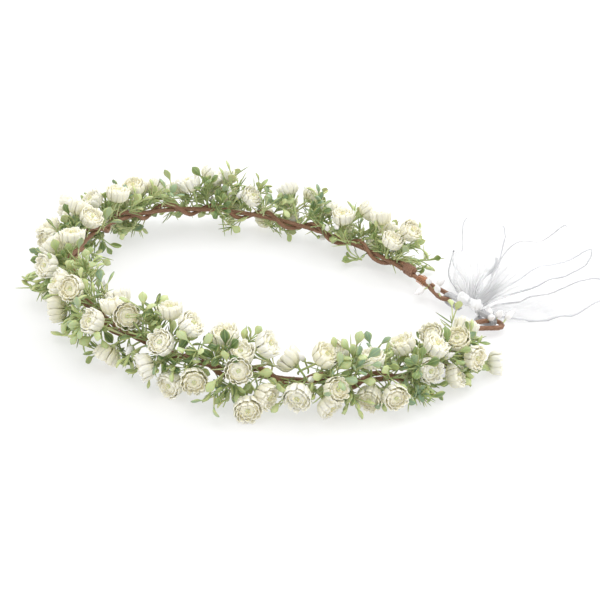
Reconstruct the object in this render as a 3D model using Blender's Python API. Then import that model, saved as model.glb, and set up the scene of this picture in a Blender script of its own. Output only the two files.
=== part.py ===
"""Flower crown: two paper-covered wires twisted into an open hoop, with sprigs of small
blossoms, leaves and buds held in the twist, and an organza bow tied between the end eyelets.

Metres, +Z up. The crown lies on the plane Z = 0 and the origin is in the middle of the head
opening. -Y is the forehead, +X the wearer's left. Angles round the hoop start at +Y and grow
towards +X. Angles round the vine start at its outer side and grow upwards.
"""

import math
import random

import bmesh
import bpy
import numpy as np
from mathutils import Matrix, Vector

# Hoop
HOOP_HALF_LENGTH = 0.092
HOOP_HALF_WIDTH = 0.077
HOOP_EGG = 0.09  # how much broader the hoop is over the forehead than behind
FOREHEAD_HEIGHT = 0.016
BACK_HEIGHT = 0.005
LEFT_END_ANGLE = math.radians(-5.5)
RIGHT_END_ANGLE = math.radians(322.0)

# Vine: a hoop strand with a second strand wound round it
STRAND_RADIUS = 0.0010
PAPER_BORE_RADIUS = 0.75 * STRAND_RADIUS
CORE_RADIUS = 0.42 * STRAND_RADIUS
GAP = 0.0003
TWIST_PITCH = 0.026
TWIST_STEPS = 6  # path points in one turn
TWIST_RADIUS = 2.0 * STRAND_RADIUS + 0.00075
STRAND_SIDES = 5

# Ends: a straight stretch, a tape, a wire wrap and an eyelet
BARE_END = 0.019
TAPE_START = 0.0105
TAPE_LENGTH = 0.006
TAPE_THICKNESS = 0.0007
STRAIGHT_START = 0.0095
STRAIGHT_END = 0.0175
WRAP_START = 0.0008
WRAP_PITCH = 0.0012
WRAP_TURNS = 5
WRAP_STEPS = 10  # path points in one turn
WRAP_WIRE_RADIUS = 0.0003
RETURN_OFFSET = 2.0 * STRAND_RADIUS + 0.0005
RETURN_LENGTH = 0.0085
WRAP_ROOM = (-0.007, -0.005, -0.003, -0.001)  # places along a wrap that are kept clear
WRAP_ROOM_RADIUS = 0.003
EYELET_RADIUS = 0.0034
LEFT_EYELET_LENGTH = 0.026
RIGHT_EYELET_LENGTH = 0.015
LEFT_EYELET_BEND = math.radians(62.0)
RIGHT_EYELET_BEND = math.radians(4.0)
EYELET_BEND_LENGTH = 0.006
EYELET_STEPS = 5  # path steps round the open end
EYELET_SHANK = (0.002, 0.004, 0.006, 0.010, 0.014, 0.018)  # path points short of it

# Sprigs
SPRIG_COUNT = 14
SPRIG_SEED = 11
SPRIG_GAP = 0.0012
STALK_RADIUS = 0.0006
STALK_ORBIT = STRAND_RADIUS + 0.0015
STEM_RADIUS = 0.00035
STEM_CLEAR_RADIUS = 0.0046
BLOSSOMS_PER_SPRIG = 6
LEAVES_PER_SPRIG = 6
BUDS_PER_SPRIG = 4
BLOSSOM_HEIGHT = 0.0082
BLOSSOM_RADIUS = 0.0056
BLOSSOM_SIDES = 6
LEAF_LENGTH = 0.0068
LEAF_WIDTH = 0.0038
LEAF_THICKNESS = 0.0006
BUD_LENGTH = 0.0055
BUD_RADIUS = 0.0015
CLEARANCE = 0.00035
TABLE_CLEARANCE = 0.0001
SAMPLE_SPACING = 0.0008
BLOSSOM_STEMS = (0.0030, 0.0130)  # shortest and longest stem beyond the vine
LEAF_STEMS = (0.0025, 0.0130)
BUD_STEMS = (0.0015, 0.0080)
BLOSSOM_TRIES = 500
LEAF_TRIES = 150
RESTING_HEIGHT = 0.0006
INWARD_REACH = 0.0105
BLOSSOM_PROFILE = ((0.29, 0.30), (0.66, 0.84), (1.0, 1.0))  # shares of its height and radius
BLOSSOM_HOLLOW = 0.8  # share of its height where the open end is deepest
BLOSSOM_ROOM = ((0.0, 0.0), (0.29, 0.36), (0.66, 0.87), (1.0, 1.0))
BLOSSOM_SAMPLES = ((0.30, 0.34), (0.5, 0.64), (0.68, 0.88), (0.85, 0.96), (1.0, 1.0), (0.97, 0.55))
BUD_PROFILE = ((0.25, 0.85), (0.65, 1.0))
LEAF_SHOULDER = 0.55  # share of its length where a leaf is widest
LEAF_SAMPLES = ((0.12, 0.25), (0.3, 0.7), (0.45, 0.95), (0.6, 1.0), (0.78, 0.65), (0.95, 0.2))
LEAF_ACROSS = (-1.0, -0.5, 0.0, 0.5, 1.0)

# Ribbon
RIBBON_WIDTH = 0.024
RIBBON_ROOM = 0.002  # kept clear round it
RIBBON_SPACING = 0.003
RIBBON_THICKNESS = 0.0005
GATHER_WIDTH = 0.005
KNOT_HALF_SIZE = (0.0050, 0.0046, 0.0046)
KNOT_CENTRE = (0.0, -0.0012, 0.0046)
TIE_WIDTH = 0.003
TIE_THICKNESS = 0.0006
TIE_HALF_HEIGHT = 0.0022
TIE_MOUTH = 0.0012  # length over which a tie opens beside the knot
TIE_LAP = 0.0004
GATHER_LENGTH = 0.026
LOOP_SHARES = (0.0, 0.14, 0.3, 0.52, 0.76, 0.93)
LOOP_RISE = 3.0  # a loop is at its full height a third of the way out
LOOP_OUT = 0.0042  # where loops and tails leave the knot, behind the line between the eyelets
LEFT_LOOP = (0.036, (0.0068, 0.0052), (0.0086, 0.0150))  # length, lower heights, upper heights
RIGHT_LOOP = (0.062, (0.0068, 0.0150), (0.0086, 0.0260))
LEFT_LOOP_HEADING = -34.0
RIGHT_LOOP_HEADING = 14.0
LEFT_TAIL_HEADING = -30.0
RIGHT_TAIL_HEADING = 26.0
LOOP_START = 0.0026  # how far from the knot's middle, along the line between the eyelets
TAIL_START = 0.0022
LEFT_TAIL_STEPS = (  # reach from the knot, and height
    (0.0, 0.0048),
    (0.008, 0.0032),
    (0.018, 0.0026),
    (0.034, 0.0020),
    (0.050, 0.0050),
    (0.066, 0.0100),
    (0.084, 0.0110),
    (0.104, 0.0060),
)
RIGHT_TAIL_STEPS = (
    (0.0, 0.0030),
    (0.008, 0.0012),
    (0.018, 0.0006),
    (0.036, 0.0010),
    (0.054, 0.0050),
    (0.072, 0.0090),
    (0.090, 0.0070),
    (0.108, 0.0010),
)

PAPER = ("vine_paper", (0.30, 0.13, 0.07), 0.55, 0.0)
STEEL = ("core_wire", (0.55, 0.55, 0.56), 0.35, 1.0)
COPPER = ("wrap_wire", (0.72, 0.40, 0.24), 0.30, 1.0)
TAPE = ("end_tape", (0.26, 0.12, 0.07), 0.70, 0.0)
PETAL = ("petal", (0.93, 0.89, 0.74), 0.45, 0.0)
LEAF = ("leaf", (0.22, 0.36, 0.12), 0.50, 0.0)
BUD = ("bud", (0.94, 0.94, 0.90), 0.35, 0.0)
ORGANZA = ("organza", (0.90, 0.93, 0.96), 0.60, 0.0)

HOOP_TILT = math.asin((FOREHEAD_HEIGHT - BACK_HEIGHT) / (2.0 * HOOP_HALF_LENGTH))
HOOP_MID_HEIGHT = (FOREHEAD_HEIGHT + BACK_HEIGHT) / 2.0
HOOP_UP = Vector((0.0, math.sin(HOOP_TILT), math.cos(HOOP_TILT)))


# ---------------------------------------------------------------- shared tools


def clear_scene():
    for obj in list(bpy.data.objects):
        bpy.data.objects.remove(obj, do_unlink=True)


def material(spec):
    name, colour, roughness, metallic = spec
    found = bpy.data.materials.get(name)
    if found:
        return found
    made = bpy.data.materials.new(name)
    made.use_nodes = True
    shader = made.node_tree.nodes["Principled BSDF"]
    shader.inputs["Base Color"].default_value = (*colour, 1.0)
    shader.inputs["Roughness"].default_value = roughness
    shader.inputs["Metallic"].default_value = metallic
    made.diffuse_color = (*colour, 1.0)
    return made


def add_object(name, bm, spec):
    bmesh.ops.recalc_face_normals(bm, faces=bm.faces)
    mesh = bpy.data.meshes.new(name)
    bm.to_mesh(mesh)
    bm.free()
    mesh.shade_smooth()
    mesh.set_sharp_from_angle(angle=math.radians(40.0))
    mesh.materials.append(material(spec))
    obj = bpy.data.objects.new(name, mesh)
    bpy.context.scene.collection.objects.link(obj)
    return obj


def union(obj, cutter):
    cutter.hide_render = True
    cutter.display_type = "WIRE"
    join = obj.modifiers.new("join", "BOOLEAN")
    join.operation = "UNION"
    join.solver = "EXACT"
    join.object = cutter


def bridge(bm, lower, upper):
    count = len(lower)
    for i in range(count):
        j = (i + 1) % count
        bm.faces.new((lower[i], lower[j], upper[j], upper[i]))


def path_frames(points, start_side):
    """Tangent and two crosswise directions at each point, carried along without twist."""
    frames = []
    side = Vector(start_side)
    last = len(points) - 1
    for i in range(len(points)):
        tangent = (points[min(i + 1, last)] - points[max(i - 1, 0)]).normalized()
        side = (side - tangent * side.dot(tangent)).normalized()
        frames.append((tangent, side, tangent.cross(side)))
    return frames


def ring(bm, centre, first, second, radius, sides):
    verts = []
    for i in range(sides):
        angle = 2.0 * math.pi * i / sides
        offset = first * (radius * math.cos(angle)) + second * (radius * math.sin(angle))
        verts.append(bm.verts.new(centre + offset))
    return verts


def tube(bm, points, radius, sides, start_side, bore=None):
    """A round bar along the points, or a pipe with open ends when it has a bore."""
    frames = path_frames(points, start_side)
    outer = [ring(bm, p, f[1], f[2], radius, sides) for p, f in zip(points, frames)]
    for lower, upper in zip(outer, outer[1:]):
        bridge(bm, lower, upper)
    if bore is None:
        bm.faces.new(outer[0])
        bm.faces.new(outer[-1])
        return
    inner = [ring(bm, p, f[1], f[2], bore, sides) for p, f in zip(points, frames)]
    for lower, upper in zip(inner, inner[1:]):
        bridge(bm, lower, upper)
    bridge(bm, outer[0], inner[0])
    bridge(bm, outer[-1], inner[-1])


def strip(bm, points, widths, sideways, thickness):
    """A flat band along the points, as wide as each width in each sideways direction."""
    last = len(points) - 1
    sections = []
    for i, (point, width, side) in enumerate(zip(points, widths, sideways)):
        tangent = (points[min(i + 1, last)] - points[max(i - 1, 0)]).normalized()
        side = (side - tangent * side.dot(tangent)).normalized() * (width / 2.0)
        up = tangent.cross(side).normalized() * (thickness / 2.0)
        corners = (point - side - up, point + side - up, point + side + up, point - side + up)
        sections.append([bm.verts.new(c) for c in corners])
    for lower, upper in zip(sections, sections[1:]):
        bridge(bm, lower, upper)
    bm.faces.new(sections[0])
    bm.faces.new(sections[-1])


# ---------------------------------------------------------------- hoop line


def hoop_point(angle):
    across = HOOP_HALF_WIDTH * math.sin(angle) * (1.0 - HOOP_EGG * math.cos(angle))
    along = HOOP_HALF_LENGTH * math.cos(angle)
    height = HOOP_MID_HEIGHT - along * math.sin(HOOP_TILT)
    return Vector((across, along * math.cos(HOOP_TILT), height))


def measure_hoop(steps=1400):
    angles = np.linspace(LEFT_END_ANGLE, RIGHT_END_ANGLE, steps)
    points = np.array([hoop_point(a) for a in angles])
    runs = np.linalg.norm(np.diff(points, axis=0), axis=1)
    return angles, np.concatenate(([0.0], np.cumsum(runs)))


HOOP_ANGLES, HOOP_RUNS = measure_hoop()
VINE_LENGTH = float(HOOP_RUNS[-1])
TWISTED_LENGTH = VINE_LENGTH - 2.0 * STRAIGHT_END
TWIST_TURNS = round(TWISTED_LENGTH / TWIST_PITCH)
TWIST_POINTS = TWIST_TURNS * TWIST_STEPS
STRAIGHT_PHASE = math.pi / 2.0  # the wound strand starts and ends above the hoop strand


def station(run):
    """Point on the hoop line at a length from its left end, with tangent and outward normal."""
    angle = float(np.interp(run, HOOP_RUNS, HOOP_ANGLES))
    step = 0.001
    tangent = (hoop_point(angle + step) - hoop_point(angle - step)).normalized()
    return hoop_point(angle), tangent, HOOP_UP.cross(tangent).normalized()


def around(run, radius, angle):
    point, _, outward = station(run)
    return point + outward * (radius * math.cos(angle)) + HOOP_UP * (radius * math.sin(angle))


def twist_phase(run):
    turned = min(max(run - STRAIGHT_END, 0.0), TWISTED_LENGTH)
    return STRAIGHT_PHASE + 2.0 * math.pi * TWIST_TURNS * turned / TWISTED_LENGTH


def twist_runs(start, end):
    """Lengths along the vine from start to end, close to one twist step apart."""
    steps = max(2, round((end - start) / TWISTED_LENGTH * TWIST_POINTS))
    return [start + (end - start) * i / steps for i in range(steps + 1)]


# ---------------------------------------------------------------- vine


def arm_axis(arm, reach):
    """Point, direction and outward side at a reach beyond an arm's end, or short of it."""
    if arm == "left":
        run, sign, bend = 0.0, -1.0, LEFT_EYELET_BEND
    else:
        run, sign, bend = VINE_LENGTH, 1.0, RIGHT_EYELET_BEND
    if reach <= 0.0:
        point, tangent, outward = station(run + sign * reach)
        return point, tangent * sign, outward
    point, tangent, outward = station(run)
    forward = Vector(tangent * sign)
    side = Vector(outward)
    steps = 24
    stride = reach / steps
    for i in range(steps):
        turned = min((i + 0.5) * stride, EYELET_BEND_LENGTH) / EYELET_BEND_LENGTH * bend
        heading = forward * math.cos(turned) + side * math.sin(turned)
        point = point + heading * stride
    turned = min(reach, EYELET_BEND_LENGTH) / EYELET_BEND_LENGTH * bend
    heading = forward * math.cos(turned) + side * math.sin(turned)
    return point, heading, side * math.cos(turned) - forward * math.sin(turned)


def eyelet_half_width(reach, length):
    share = min(max(reach / (length - EYELET_RADIUS), 0.0), 1.0)
    smooth = share * share * (3.0 - 2.0 * share)
    return RETURN_OFFSET / 2.0 + (EYELET_RADIUS - RETURN_OFFSET / 2.0) * smooth


def eyelet_points(arm, length):
    """Line of the folded-back strand, from the arm's end round the eyelet to the cut end."""
    points = []
    reaches = [reach for reach in EYELET_SHANK if reach < length - 1.5 * EYELET_RADIUS]
    for reach in reaches:
        point, _, side = arm_axis(arm, reach)
        points.append(point + side * (RETURN_OFFSET / 2.0 - eyelet_half_width(reach, length)))
    centre, forward, side = eyelet_centre(arm, length)
    for i in range(EYELET_STEPS + 1):
        angle = math.pi * (i / EYELET_STEPS - 0.5)
        points.append(centre + (forward * math.cos(angle) + side * math.sin(angle)) * EYELET_RADIUS)
    for reach in reversed(reaches):
        point, _, side = arm_axis(arm, reach)
        points.append(point + side * (RETURN_OFFSET / 2.0 + eyelet_half_width(reach, length)))
    for reach in (0.0, -RETURN_LENGTH / 2.0, -RETURN_LENGTH):
        point, _, side = arm_axis(arm, reach)
        points.append(point + side * RETURN_OFFSET)
    return points


def eyelet_centre(arm, length):
    point, forward, side = arm_axis(arm, length - EYELET_RADIUS)
    return point + side * (RETURN_OFFSET / 2.0), forward, side


def hoop_strand_points():
    left = list(reversed(eyelet_points("left", LEFT_EYELET_LENGTH)))
    right = eyelet_points("right", RIGHT_EYELET_LENGTH)
    runs = [0.0, STRAIGHT_END / 2.0]
    runs += twist_runs(STRAIGHT_END, VINE_LENGTH - STRAIGHT_END)[::2]
    runs += [VINE_LENGTH - STRAIGHT_END / 2.0, VINE_LENGTH]
    return left + [station(run)[0] for run in runs] + right


def wound_strand_points():
    runs = [STRAIGHT_START]
    runs += twist_runs(STRAIGHT_END, VINE_LENGTH - STRAIGHT_END)
    runs += [VINE_LENGTH - STRAIGHT_START]
    return [around(run, TWIST_RADIUS, twist_phase(run)) for run in runs]


def build_strand(points, wire_name, paper_name):
    wire = bmesh.new()
    tube(wire, points, CORE_RADIUS, 4, HOOP_UP)
    add_object(wire_name, wire, STEEL)
    paper = bmesh.new()
    tube(paper, points, STRAND_RADIUS, STRAND_SIDES, HOOP_UP, bore=PAPER_BORE_RADIUS)
    add_object(paper_name, paper, PAPER)


def stadium(angle, half_length, radius):
    """Offset across and up on a rounded slot outline, for an angle round it."""
    across = radius * math.cos(angle) + math.copysign(half_length, math.cos(angle))
    return across, radius * math.sin(angle)


def build_tape(name, run):
    """A flat-sided sleeve round the hoop strand and the end of the wound strand above it."""
    bm = bmesh.new()
    inner_radius = STRAND_RADIUS + GAP
    outer_radius = inner_radius + TAPE_THICKNESS
    half_length = TWIST_RADIUS / 2.0
    rings = []
    for radius in (outer_radius, inner_radius):
        for offset in (0.0, TAPE_LENGTH):
            point, tangent, outward = station(run + TAPE_LENGTH / 2.0)
            centre = point + tangent * (offset - TAPE_LENGTH / 2.0) + HOOP_UP * half_length
            verts = []
            for i in range(12):
                rise, across = stadium(math.pi * (i / 6.0 + 1.0 / 12.0), half_length, radius)
                verts.append(bm.verts.new(centre + HOOP_UP * rise + outward * across))
            rings.append(verts)
    bridge(bm, rings[0], rings[1])
    bridge(bm, rings[2], rings[3])
    bridge(bm, rings[0], rings[2])
    bridge(bm, rings[1], rings[3])
    return add_object(name, bm, TAPE)


def build_wrap(name, arm):
    """A fine wire wound round the hoop strand and its folded-back end."""
    radius = STRAND_RADIUS + GAP + WRAP_WIRE_RADIUS
    points = []
    for i in range(WRAP_TURNS * WRAP_STEPS + 1):
        turn = i / WRAP_STEPS
        across, rise = stadium(2.0 * math.pi * turn, RETURN_OFFSET / 2.0, radius)
        point, _, side = arm_axis(arm, -WRAP_START - WRAP_PITCH * turn)
        points.append(point + side * (RETURN_OFFSET / 2.0 + across) + HOOP_UP * rise)
    bm = bmesh.new()
    tube(bm, points, WRAP_WIRE_RADIUS, 3, station(0.0)[1])
    return add_object(name, bm, COPPER)


# ---------------------------------------------------------------- sprigs


def blossom_samples(base, axis):
    first = axis.orthogonal().normalized()
    second = axis.cross(first)
    samples = []
    for height, share in BLOSSOM_SAMPLES:
        for i in range(12):
            angle = math.pi * i / 6.0
            spoke = first * math.cos(angle) + second * math.sin(angle)
            samples.append(base + axis * (height * BLOSSOM_HEIGHT) + spoke * (share * BLOSSOM_RADIUS))
    return samples


def along(points, spacing=SAMPLE_SPACING):
    samples = []
    for start, end in zip(points, points[1:]):
        count = max(1, math.ceil((end - start).length / spacing))
        samples += [start.lerp(end, i / count) for i in range(count)]
    return samples + [points[-1]]


class Room:
    """What already stands round the vine, so that each new piece finds a clear place."""

    def __init__(self):
        self.points = np.zeros((0, 3))
        self.radii = np.zeros(0)
        self.cups = []

    def add(self, points, radii):
        self.points = np.vstack((self.points, np.array([tuple(p) for p in points])))
        self.radii = np.concatenate((self.radii, np.broadcast_to(radii, (len(points),))))

    def add_cup(self, base, axis):
        self.cups.append((np.array(base), np.array(axis)))
        self.add(blossom_samples(base, axis), 0.0)

    def clear(self, points, radii):
        samples = np.array([tuple(p) for p in points])
        radii = np.broadcast_to(radii, (len(samples),))
        if (samples[:, 2] - radii).min() < TABLE_CLEARANCE:
            return False
        near = np.abs(self.points - samples.mean(axis=0)).max(axis=1) < 0.03
        others = self.points[near]
        reach = self.radii[near]
        gaps = np.linalg.norm(samples[:, None] - others[None], axis=2)
        if (gaps - radii[:, None] - reach[None]).min(initial=1.0) < CLEARANCE:
            return False
        return not any(inside_cup(samples, radii, cup) for cup in self.cups)

    def clear_cup(self, base, axis):
        cup = (np.array(base), np.array(axis))
        near = np.linalg.norm(self.points - cup[0], axis=1) < 0.02
        return not inside_cup(self.points[near], self.radii[near], cup)


def inside_cup(points, radii, cup):
    base, axis = cup
    offset = points - base
    height = offset @ axis
    spread = np.linalg.norm(offset - height[:, None] * axis, axis=1)
    margin = radii + CLEARANCE
    heights, radii_there = np.array(BLOSSOM_ROOM).T
    wall = np.interp(height, heights * BLOSSOM_HEIGHT, radii_there * BLOSSOM_RADIUS)
    within = (height > -margin) & (height < BLOSSOM_HEIGHT + margin)
    return bool((within & (spread < wall + margin)).any())


def leaf_outline(base, axis, side):
    """Points over a leaf blade, a few across at each step from its neck to its tip."""
    samples = []
    for share, spread in LEAF_SAMPLES:
        for across in LEAF_ACROSS:
            offset = side * (across * spread * LEAF_WIDTH / 2.0)
            samples.append(base + axis * (share * LEAF_LENGTH) + offset)
    return samples


class Stalk:
    """A length of sprig stalk held in the twist of the vine, at a fixed phase behind it."""

    def __init__(self, start, end, phase):
        self.runs = twist_runs(start, end)
        self.phase = phase
        self.points = [around(run, STALK_ORBIT, self.angle(run)) for run in self.runs]

    def angle(self, run):
        return twist_phase(run) + self.phase

    def at(self, run):
        """Point on the stalk's own line, which is straight between its path points."""
        i = min(int(np.searchsorted(self.runs, run, side="right")) - 1, len(self.runs) - 2)
        share = (run - self.runs[i]) / (self.runs[i + 1] - self.runs[i])
        return self.points[i].lerp(self.points[i + 1], share)


def wrapped(angle):
    return (angle + math.pi) % (2.0 * math.pi) - math.pi


def spread(rng, amount):
    return Vector([rng.uniform(-amount, amount) for _ in range(3)])


def propose(rng, stalk, lengths, angles, lean, wander):
    """A random stem: foot in the stalk, a point clear of the vine, and the stem's end."""
    edge = 3.0 * STEM_RADIUS
    run = rng.uniform(stalk.runs[0] + edge, stalk.runs[-1] - edge)
    leaving = wrapped(stalk.angle(run))
    turned = leaving + math.radians(rng.uniform(-55.0, 55.0))
    low, high = (math.radians(limit) for limit in angles)
    if not low <= turned <= high:
        return None
    _, tangent, outward = station(run)
    foot = stalk.at(run)
    bend = around(run, STEM_CLEAR_RADIUS, leaving)
    heading = outward * math.cos(turned) + HOOP_UP * math.sin(turned)
    heading = (heading + tangent * rng.uniform(-lean, lean)).normalized()
    base = bend + heading * rng.uniform(*lengths)
    axis = (heading + spread(rng, wander)).normalized()
    return run, [foot, bend, base], axis


def stays_in_band(samples, run, inward):
    point, _, outward = station(run)
    return min((sample - point).dot(outward) for sample in samples) > -inward


def beyond_stalk(stem):
    start = stem[0] + (stem[1] - stem[0]).normalized() * (STALK_RADIUS + STEM_RADIUS + 1.5 * CLEARANCE)
    return along([start, *stem[1:]])


def grow_blossom(rng, room, stalk, resting):
    angles = (-80.0, 30.0) if resting else (-75.0, 150.0)
    for _ in range(BLOSSOM_TRIES):
        found = propose(rng, stalk, BLOSSOM_STEMS, angles, 0.9, 0.35)
        if not found:
            continue
        run, stem, axis = found
        cup = blossom_samples(stem[-1], axis)
        lowest = min(sample.z for sample in cup)
        if lowest < TABLE_CLEARANCE or (resting and lowest > RESTING_HEIGHT):
            continue
        reach = beyond_stalk(stem)
        fits = stays_in_band(cup, run, INWARD_REACH) and room.clear(cup, 0.0)
        if fits and room.clear(reach, STEM_RADIUS) and room.clear_cup(stem[-1], axis):
            room.add_cup(stem[-1], axis)
            room.add(reach, STEM_RADIUS)
            return stem, axis
    return None


def grow_leaf(rng, room, stalk):
    for _ in range(LEAF_TRIES):
        found = propose(rng, stalk, LEAF_STEMS, (-150.0, 180.0), 1.2, 0.5)
        if not found:
            continue
        run, stem, axis = found
        side = axis.cross(spread(rng, 1.0)).normalized()
        blade = leaf_outline(stem[-1], axis, side)
        reach = beyond_stalk(stem)
        fits = stays_in_band(blade, run, INWARD_REACH) and room.clear(blade, LEAF_THICKNESS / 2.0)
        if fits and room.clear(reach, STEM_RADIUS):
            room.add(blade, LEAF_THICKNESS)
            room.add(reach, STEM_RADIUS)
            return stem, axis, side
    return None


def grow_bud(rng, room, stalk):
    for _ in range(LEAF_TRIES):
        found = propose(rng, stalk, BUD_STEMS, (-60.0, 180.0), 0.9, 0.4)
        if not found:
            continue
        run, stem, axis = found
        body = along([stem[-1], stem[-1] + axis * BUD_LENGTH])
        reach = beyond_stalk(stem)
        fits = stays_in_band(body, run, INWARD_REACH) and room.clear(body, BUD_RADIUS)
        if fits and room.clear(reach, STEM_RADIUS):
            room.add(body, BUD_RADIUS)
            room.add(reach, STEM_RADIUS)
            return stem, axis
    return None


def bridge_three_to_six(bm, three, six):
    for i in range(3):
        j = (i + 1) % 3
        bm.faces.new((three[i], six[2 * i], six[2 * i + 1]))
        bm.faces.new((three[i], six[2 * i + 1], three[j]))
        bm.faces.new((three[j], six[2 * i + 1], six[2 * j]))


def add_turned(bm, stem, axis, profile, tip_height):
    """A three-sided stem that opens into a six-sided turned shape along the axis."""
    line = stem + [stem[-1] + axis * height for height, _ in profile]
    frames = path_frames(line, axis.orthogonal())
    rings = [ring(bm, p, f[1], f[2], STEM_RADIUS, 3) for p, f in zip(stem, frames)]
    bm.faces.new(rings[0])
    for lower, upper in zip(rings, rings[1:]):
        bridge(bm, lower, upper)
    first, second = frames[-1][1], frames[-1][2]
    wide = [ring(bm, stem[-1] + axis * h, first, second, r, BLOSSOM_SIDES) for h, r in profile]
    bridge_three_to_six(bm, rings[-1], wide[0])
    for lower, upper in zip(wide, wide[1:]):
        bridge(bm, lower, upper)
    tip = bm.verts.new(stem[-1] + axis * tip_height)
    for i in range(BLOSSOM_SIDES):
        bm.faces.new((wide[-1][i], wide[-1][(i + 1) % BLOSSOM_SIDES], tip))


def add_blossom(bm, stem, axis):
    profile = [(height * BLOSSOM_HEIGHT, share * BLOSSOM_RADIUS) for height, share in BLOSSOM_PROFILE]
    add_turned(bm, stem, axis, profile, BLOSSOM_HOLLOW * BLOSSOM_HEIGHT)


def add_bud(bm, stem, axis):
    profile = [(height * BUD_LENGTH, share * BUD_RADIUS) for height, share in BUD_PROFILE]
    add_turned(bm, stem, axis, profile, BUD_LENGTH)


def add_leaf(bm, stem, axis, side):
    """A thin stem that widens into a flat paddle and closes to a point."""
    line = stem + [stem[-1] + axis * (LEAF_SHOULDER * LEAF_LENGTH)]
    halves = [(STEM_RADIUS, STEM_RADIUS)] * 3 + [(LEAF_WIDTH / 2.0, LEAF_THICKNESS / 2.0)]
    frames = path_frames(list(reversed(line)), side)
    sections = []
    for point, frame, (wide, thick) in zip(line, reversed(frames), halves):
        corners = (frame[1] * wide, frame[2] * thick, -frame[1] * wide, -frame[2] * thick)
        sections.append([bm.verts.new(point + corner) for corner in corners])
    bm.faces.new(sections[0])
    for lower, upper in zip(sections, sections[1:]):
        bridge(bm, lower, upper)
    tip = bm.verts.new(stem[-1] + axis * LEAF_LENGTH)
    for i in range(4):
        bm.faces.new((sections[-1][i], sections[-1][(i + 1) % 4], tip))


def build_sprig(name, stalk, pieces, add_piece, spec):
    """A stalk with its stems and what they carry, moulded as one body."""
    base = bmesh.new()
    tube(base, stalk.points, STALK_RADIUS, 4, HOOP_UP)
    obj = add_object(name, base, spec)
    carried = bmesh.new()
    for piece in pieces:
        add_piece(carried, *piece)
    union(obj, add_object(name + "_carried", carried, spec))


def sprig_spans():
    start, end = BARE_END, VINE_LENGTH - BARE_END
    length = (end - start) / SPRIG_COUNT
    spans = []
    for i in range(SPRIG_COUNT):
        low = start + length * i + SPRIG_GAP / 2.0
        spans.append((low, low + length - SPRIG_GAP))
    return spans


def fill_room(ribbons):
    """The vine, its ends and the ribbon, which stand before anything grows."""
    room = Room()
    room.add(along(hoop_strand_points()), STRAND_RADIUS)
    room.add(along(wound_strand_points()), STRAND_RADIUS)
    for arm in ("left", "right"):
        for reach in WRAP_ROOM:
            point, _, side = arm_axis(arm, reach)
            room.add([point + side * (RETURN_OFFSET / 2.0)], WRAP_ROOM_RADIUS)
    for points, widths, sideways in ribbons:
        for point, width, side in zip(points, widths, sideways):
            edge = side * (width / 2.0)
            room.add(along([point - edge, point + edge], RIBBON_SPACING), RIBBON_ROOM)
        room.add(along(points, RIBBON_SPACING), RIBBON_ROOM)
    return room


def build_sprigs(ribbons):
    rng = random.Random(SPRIG_SEED)
    room = fill_room(ribbons)
    spans = sprig_spans()
    blossom_stalks = [Stalk(*span, math.pi) for span in spans]
    leaf_stalks = [Stalk(*span, math.pi / 2.0) for span in spans]
    bud_stalks = [Stalk(*span, -math.pi / 2.0) for span in spans[::2]]
    for stalk in blossom_stalks + leaf_stalks + bud_stalks:
        room.add(along(stalk.points), STALK_RADIUS)
    blossoms = [[] for _ in spans]
    for turn in range(BLOSSOMS_PER_SPRIG):
        for i, stalk in enumerate(blossom_stalks):
            blossoms[i].append(grow_blossom(rng, room, stalk, resting=turn == 0))
    buds = [[grow_bud(rng, room, s) for _ in range(BUDS_PER_SPRIG)] for s in bud_stalks]
    leaves = [[] for _ in spans]
    for _ in range(LEAVES_PER_SPRIG):
        for i, stalk in enumerate(leaf_stalks):
            leaves[i].append(grow_leaf(rng, room, stalk))
    groups = (
        ("blossom_sprig", blossom_stalks, blossoms, add_blossom, PETAL),
        ("leaf_sprig", leaf_stalks, leaves, add_leaf, LEAF),
        ("bud_sprig", bud_stalks, buds, add_bud, BUD),
    )
    for kind, stalks, grown, add_piece, spec in groups:
        for number, (stalk, pieces) in enumerate(zip(stalks, grown), start=1):
            pieces = [piece for piece in pieces if piece]
            build_sprig(f"{kind}_{number:02d}", stalk, pieces, add_piece, spec)


# ---------------------------------------------------------------- ribbon


def eyelet_grip(arm, other):
    """Where the ribbon pulls on an eyelet: its wire on the side of the other eyelet."""
    lengths = {"left": LEFT_EYELET_LENGTH, "right": RIGHT_EYELET_LENGTH}
    centre = eyelet_centre(arm, lengths[arm])[0]
    toward = (eyelet_centre(other, lengths[other])[0] - centre).normalized()
    return centre + toward * EYELET_RADIUS


def bow_frame():
    """Middle of the line between the eyelets, that line, the way out behind it, and up."""
    left = eyelet_grip("left", "right")
    right = eyelet_grip("right", "left")
    along_line = (left - right).normalized()
    out = Vector((0.0, 0.0, 1.0)).cross(along_line).normalized()
    return (left + right) / 2.0, along_line, out, along_line.cross(out), (left - right).length / 2.0


BOW_MIDDLE, BOW_LINE, BOW_OUT, BOW_UP, BOW_HALF_SPAN = bow_frame()


def bow_point(across, out, height):
    """A point by its place along the eyelet line, how far out it is, and its height."""
    level = Vector((BOW_LINE.x, BOW_LINE.y, 0.0)).normalized()
    flat = Vector((BOW_MIDDLE.x, BOW_MIDDLE.y, 0.0)) + level * across + BOW_OUT * out
    return flat + Vector((0.0, 0.0, height))


def gathered_width(reach):
    share = min(max(reach / GATHER_LENGTH, 0.0), 1.0)
    return GATHER_WIDTH + (RIBBON_WIDTH - GATHER_WIDTH) * share * share * (3.0 - 2.0 * share)


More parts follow.
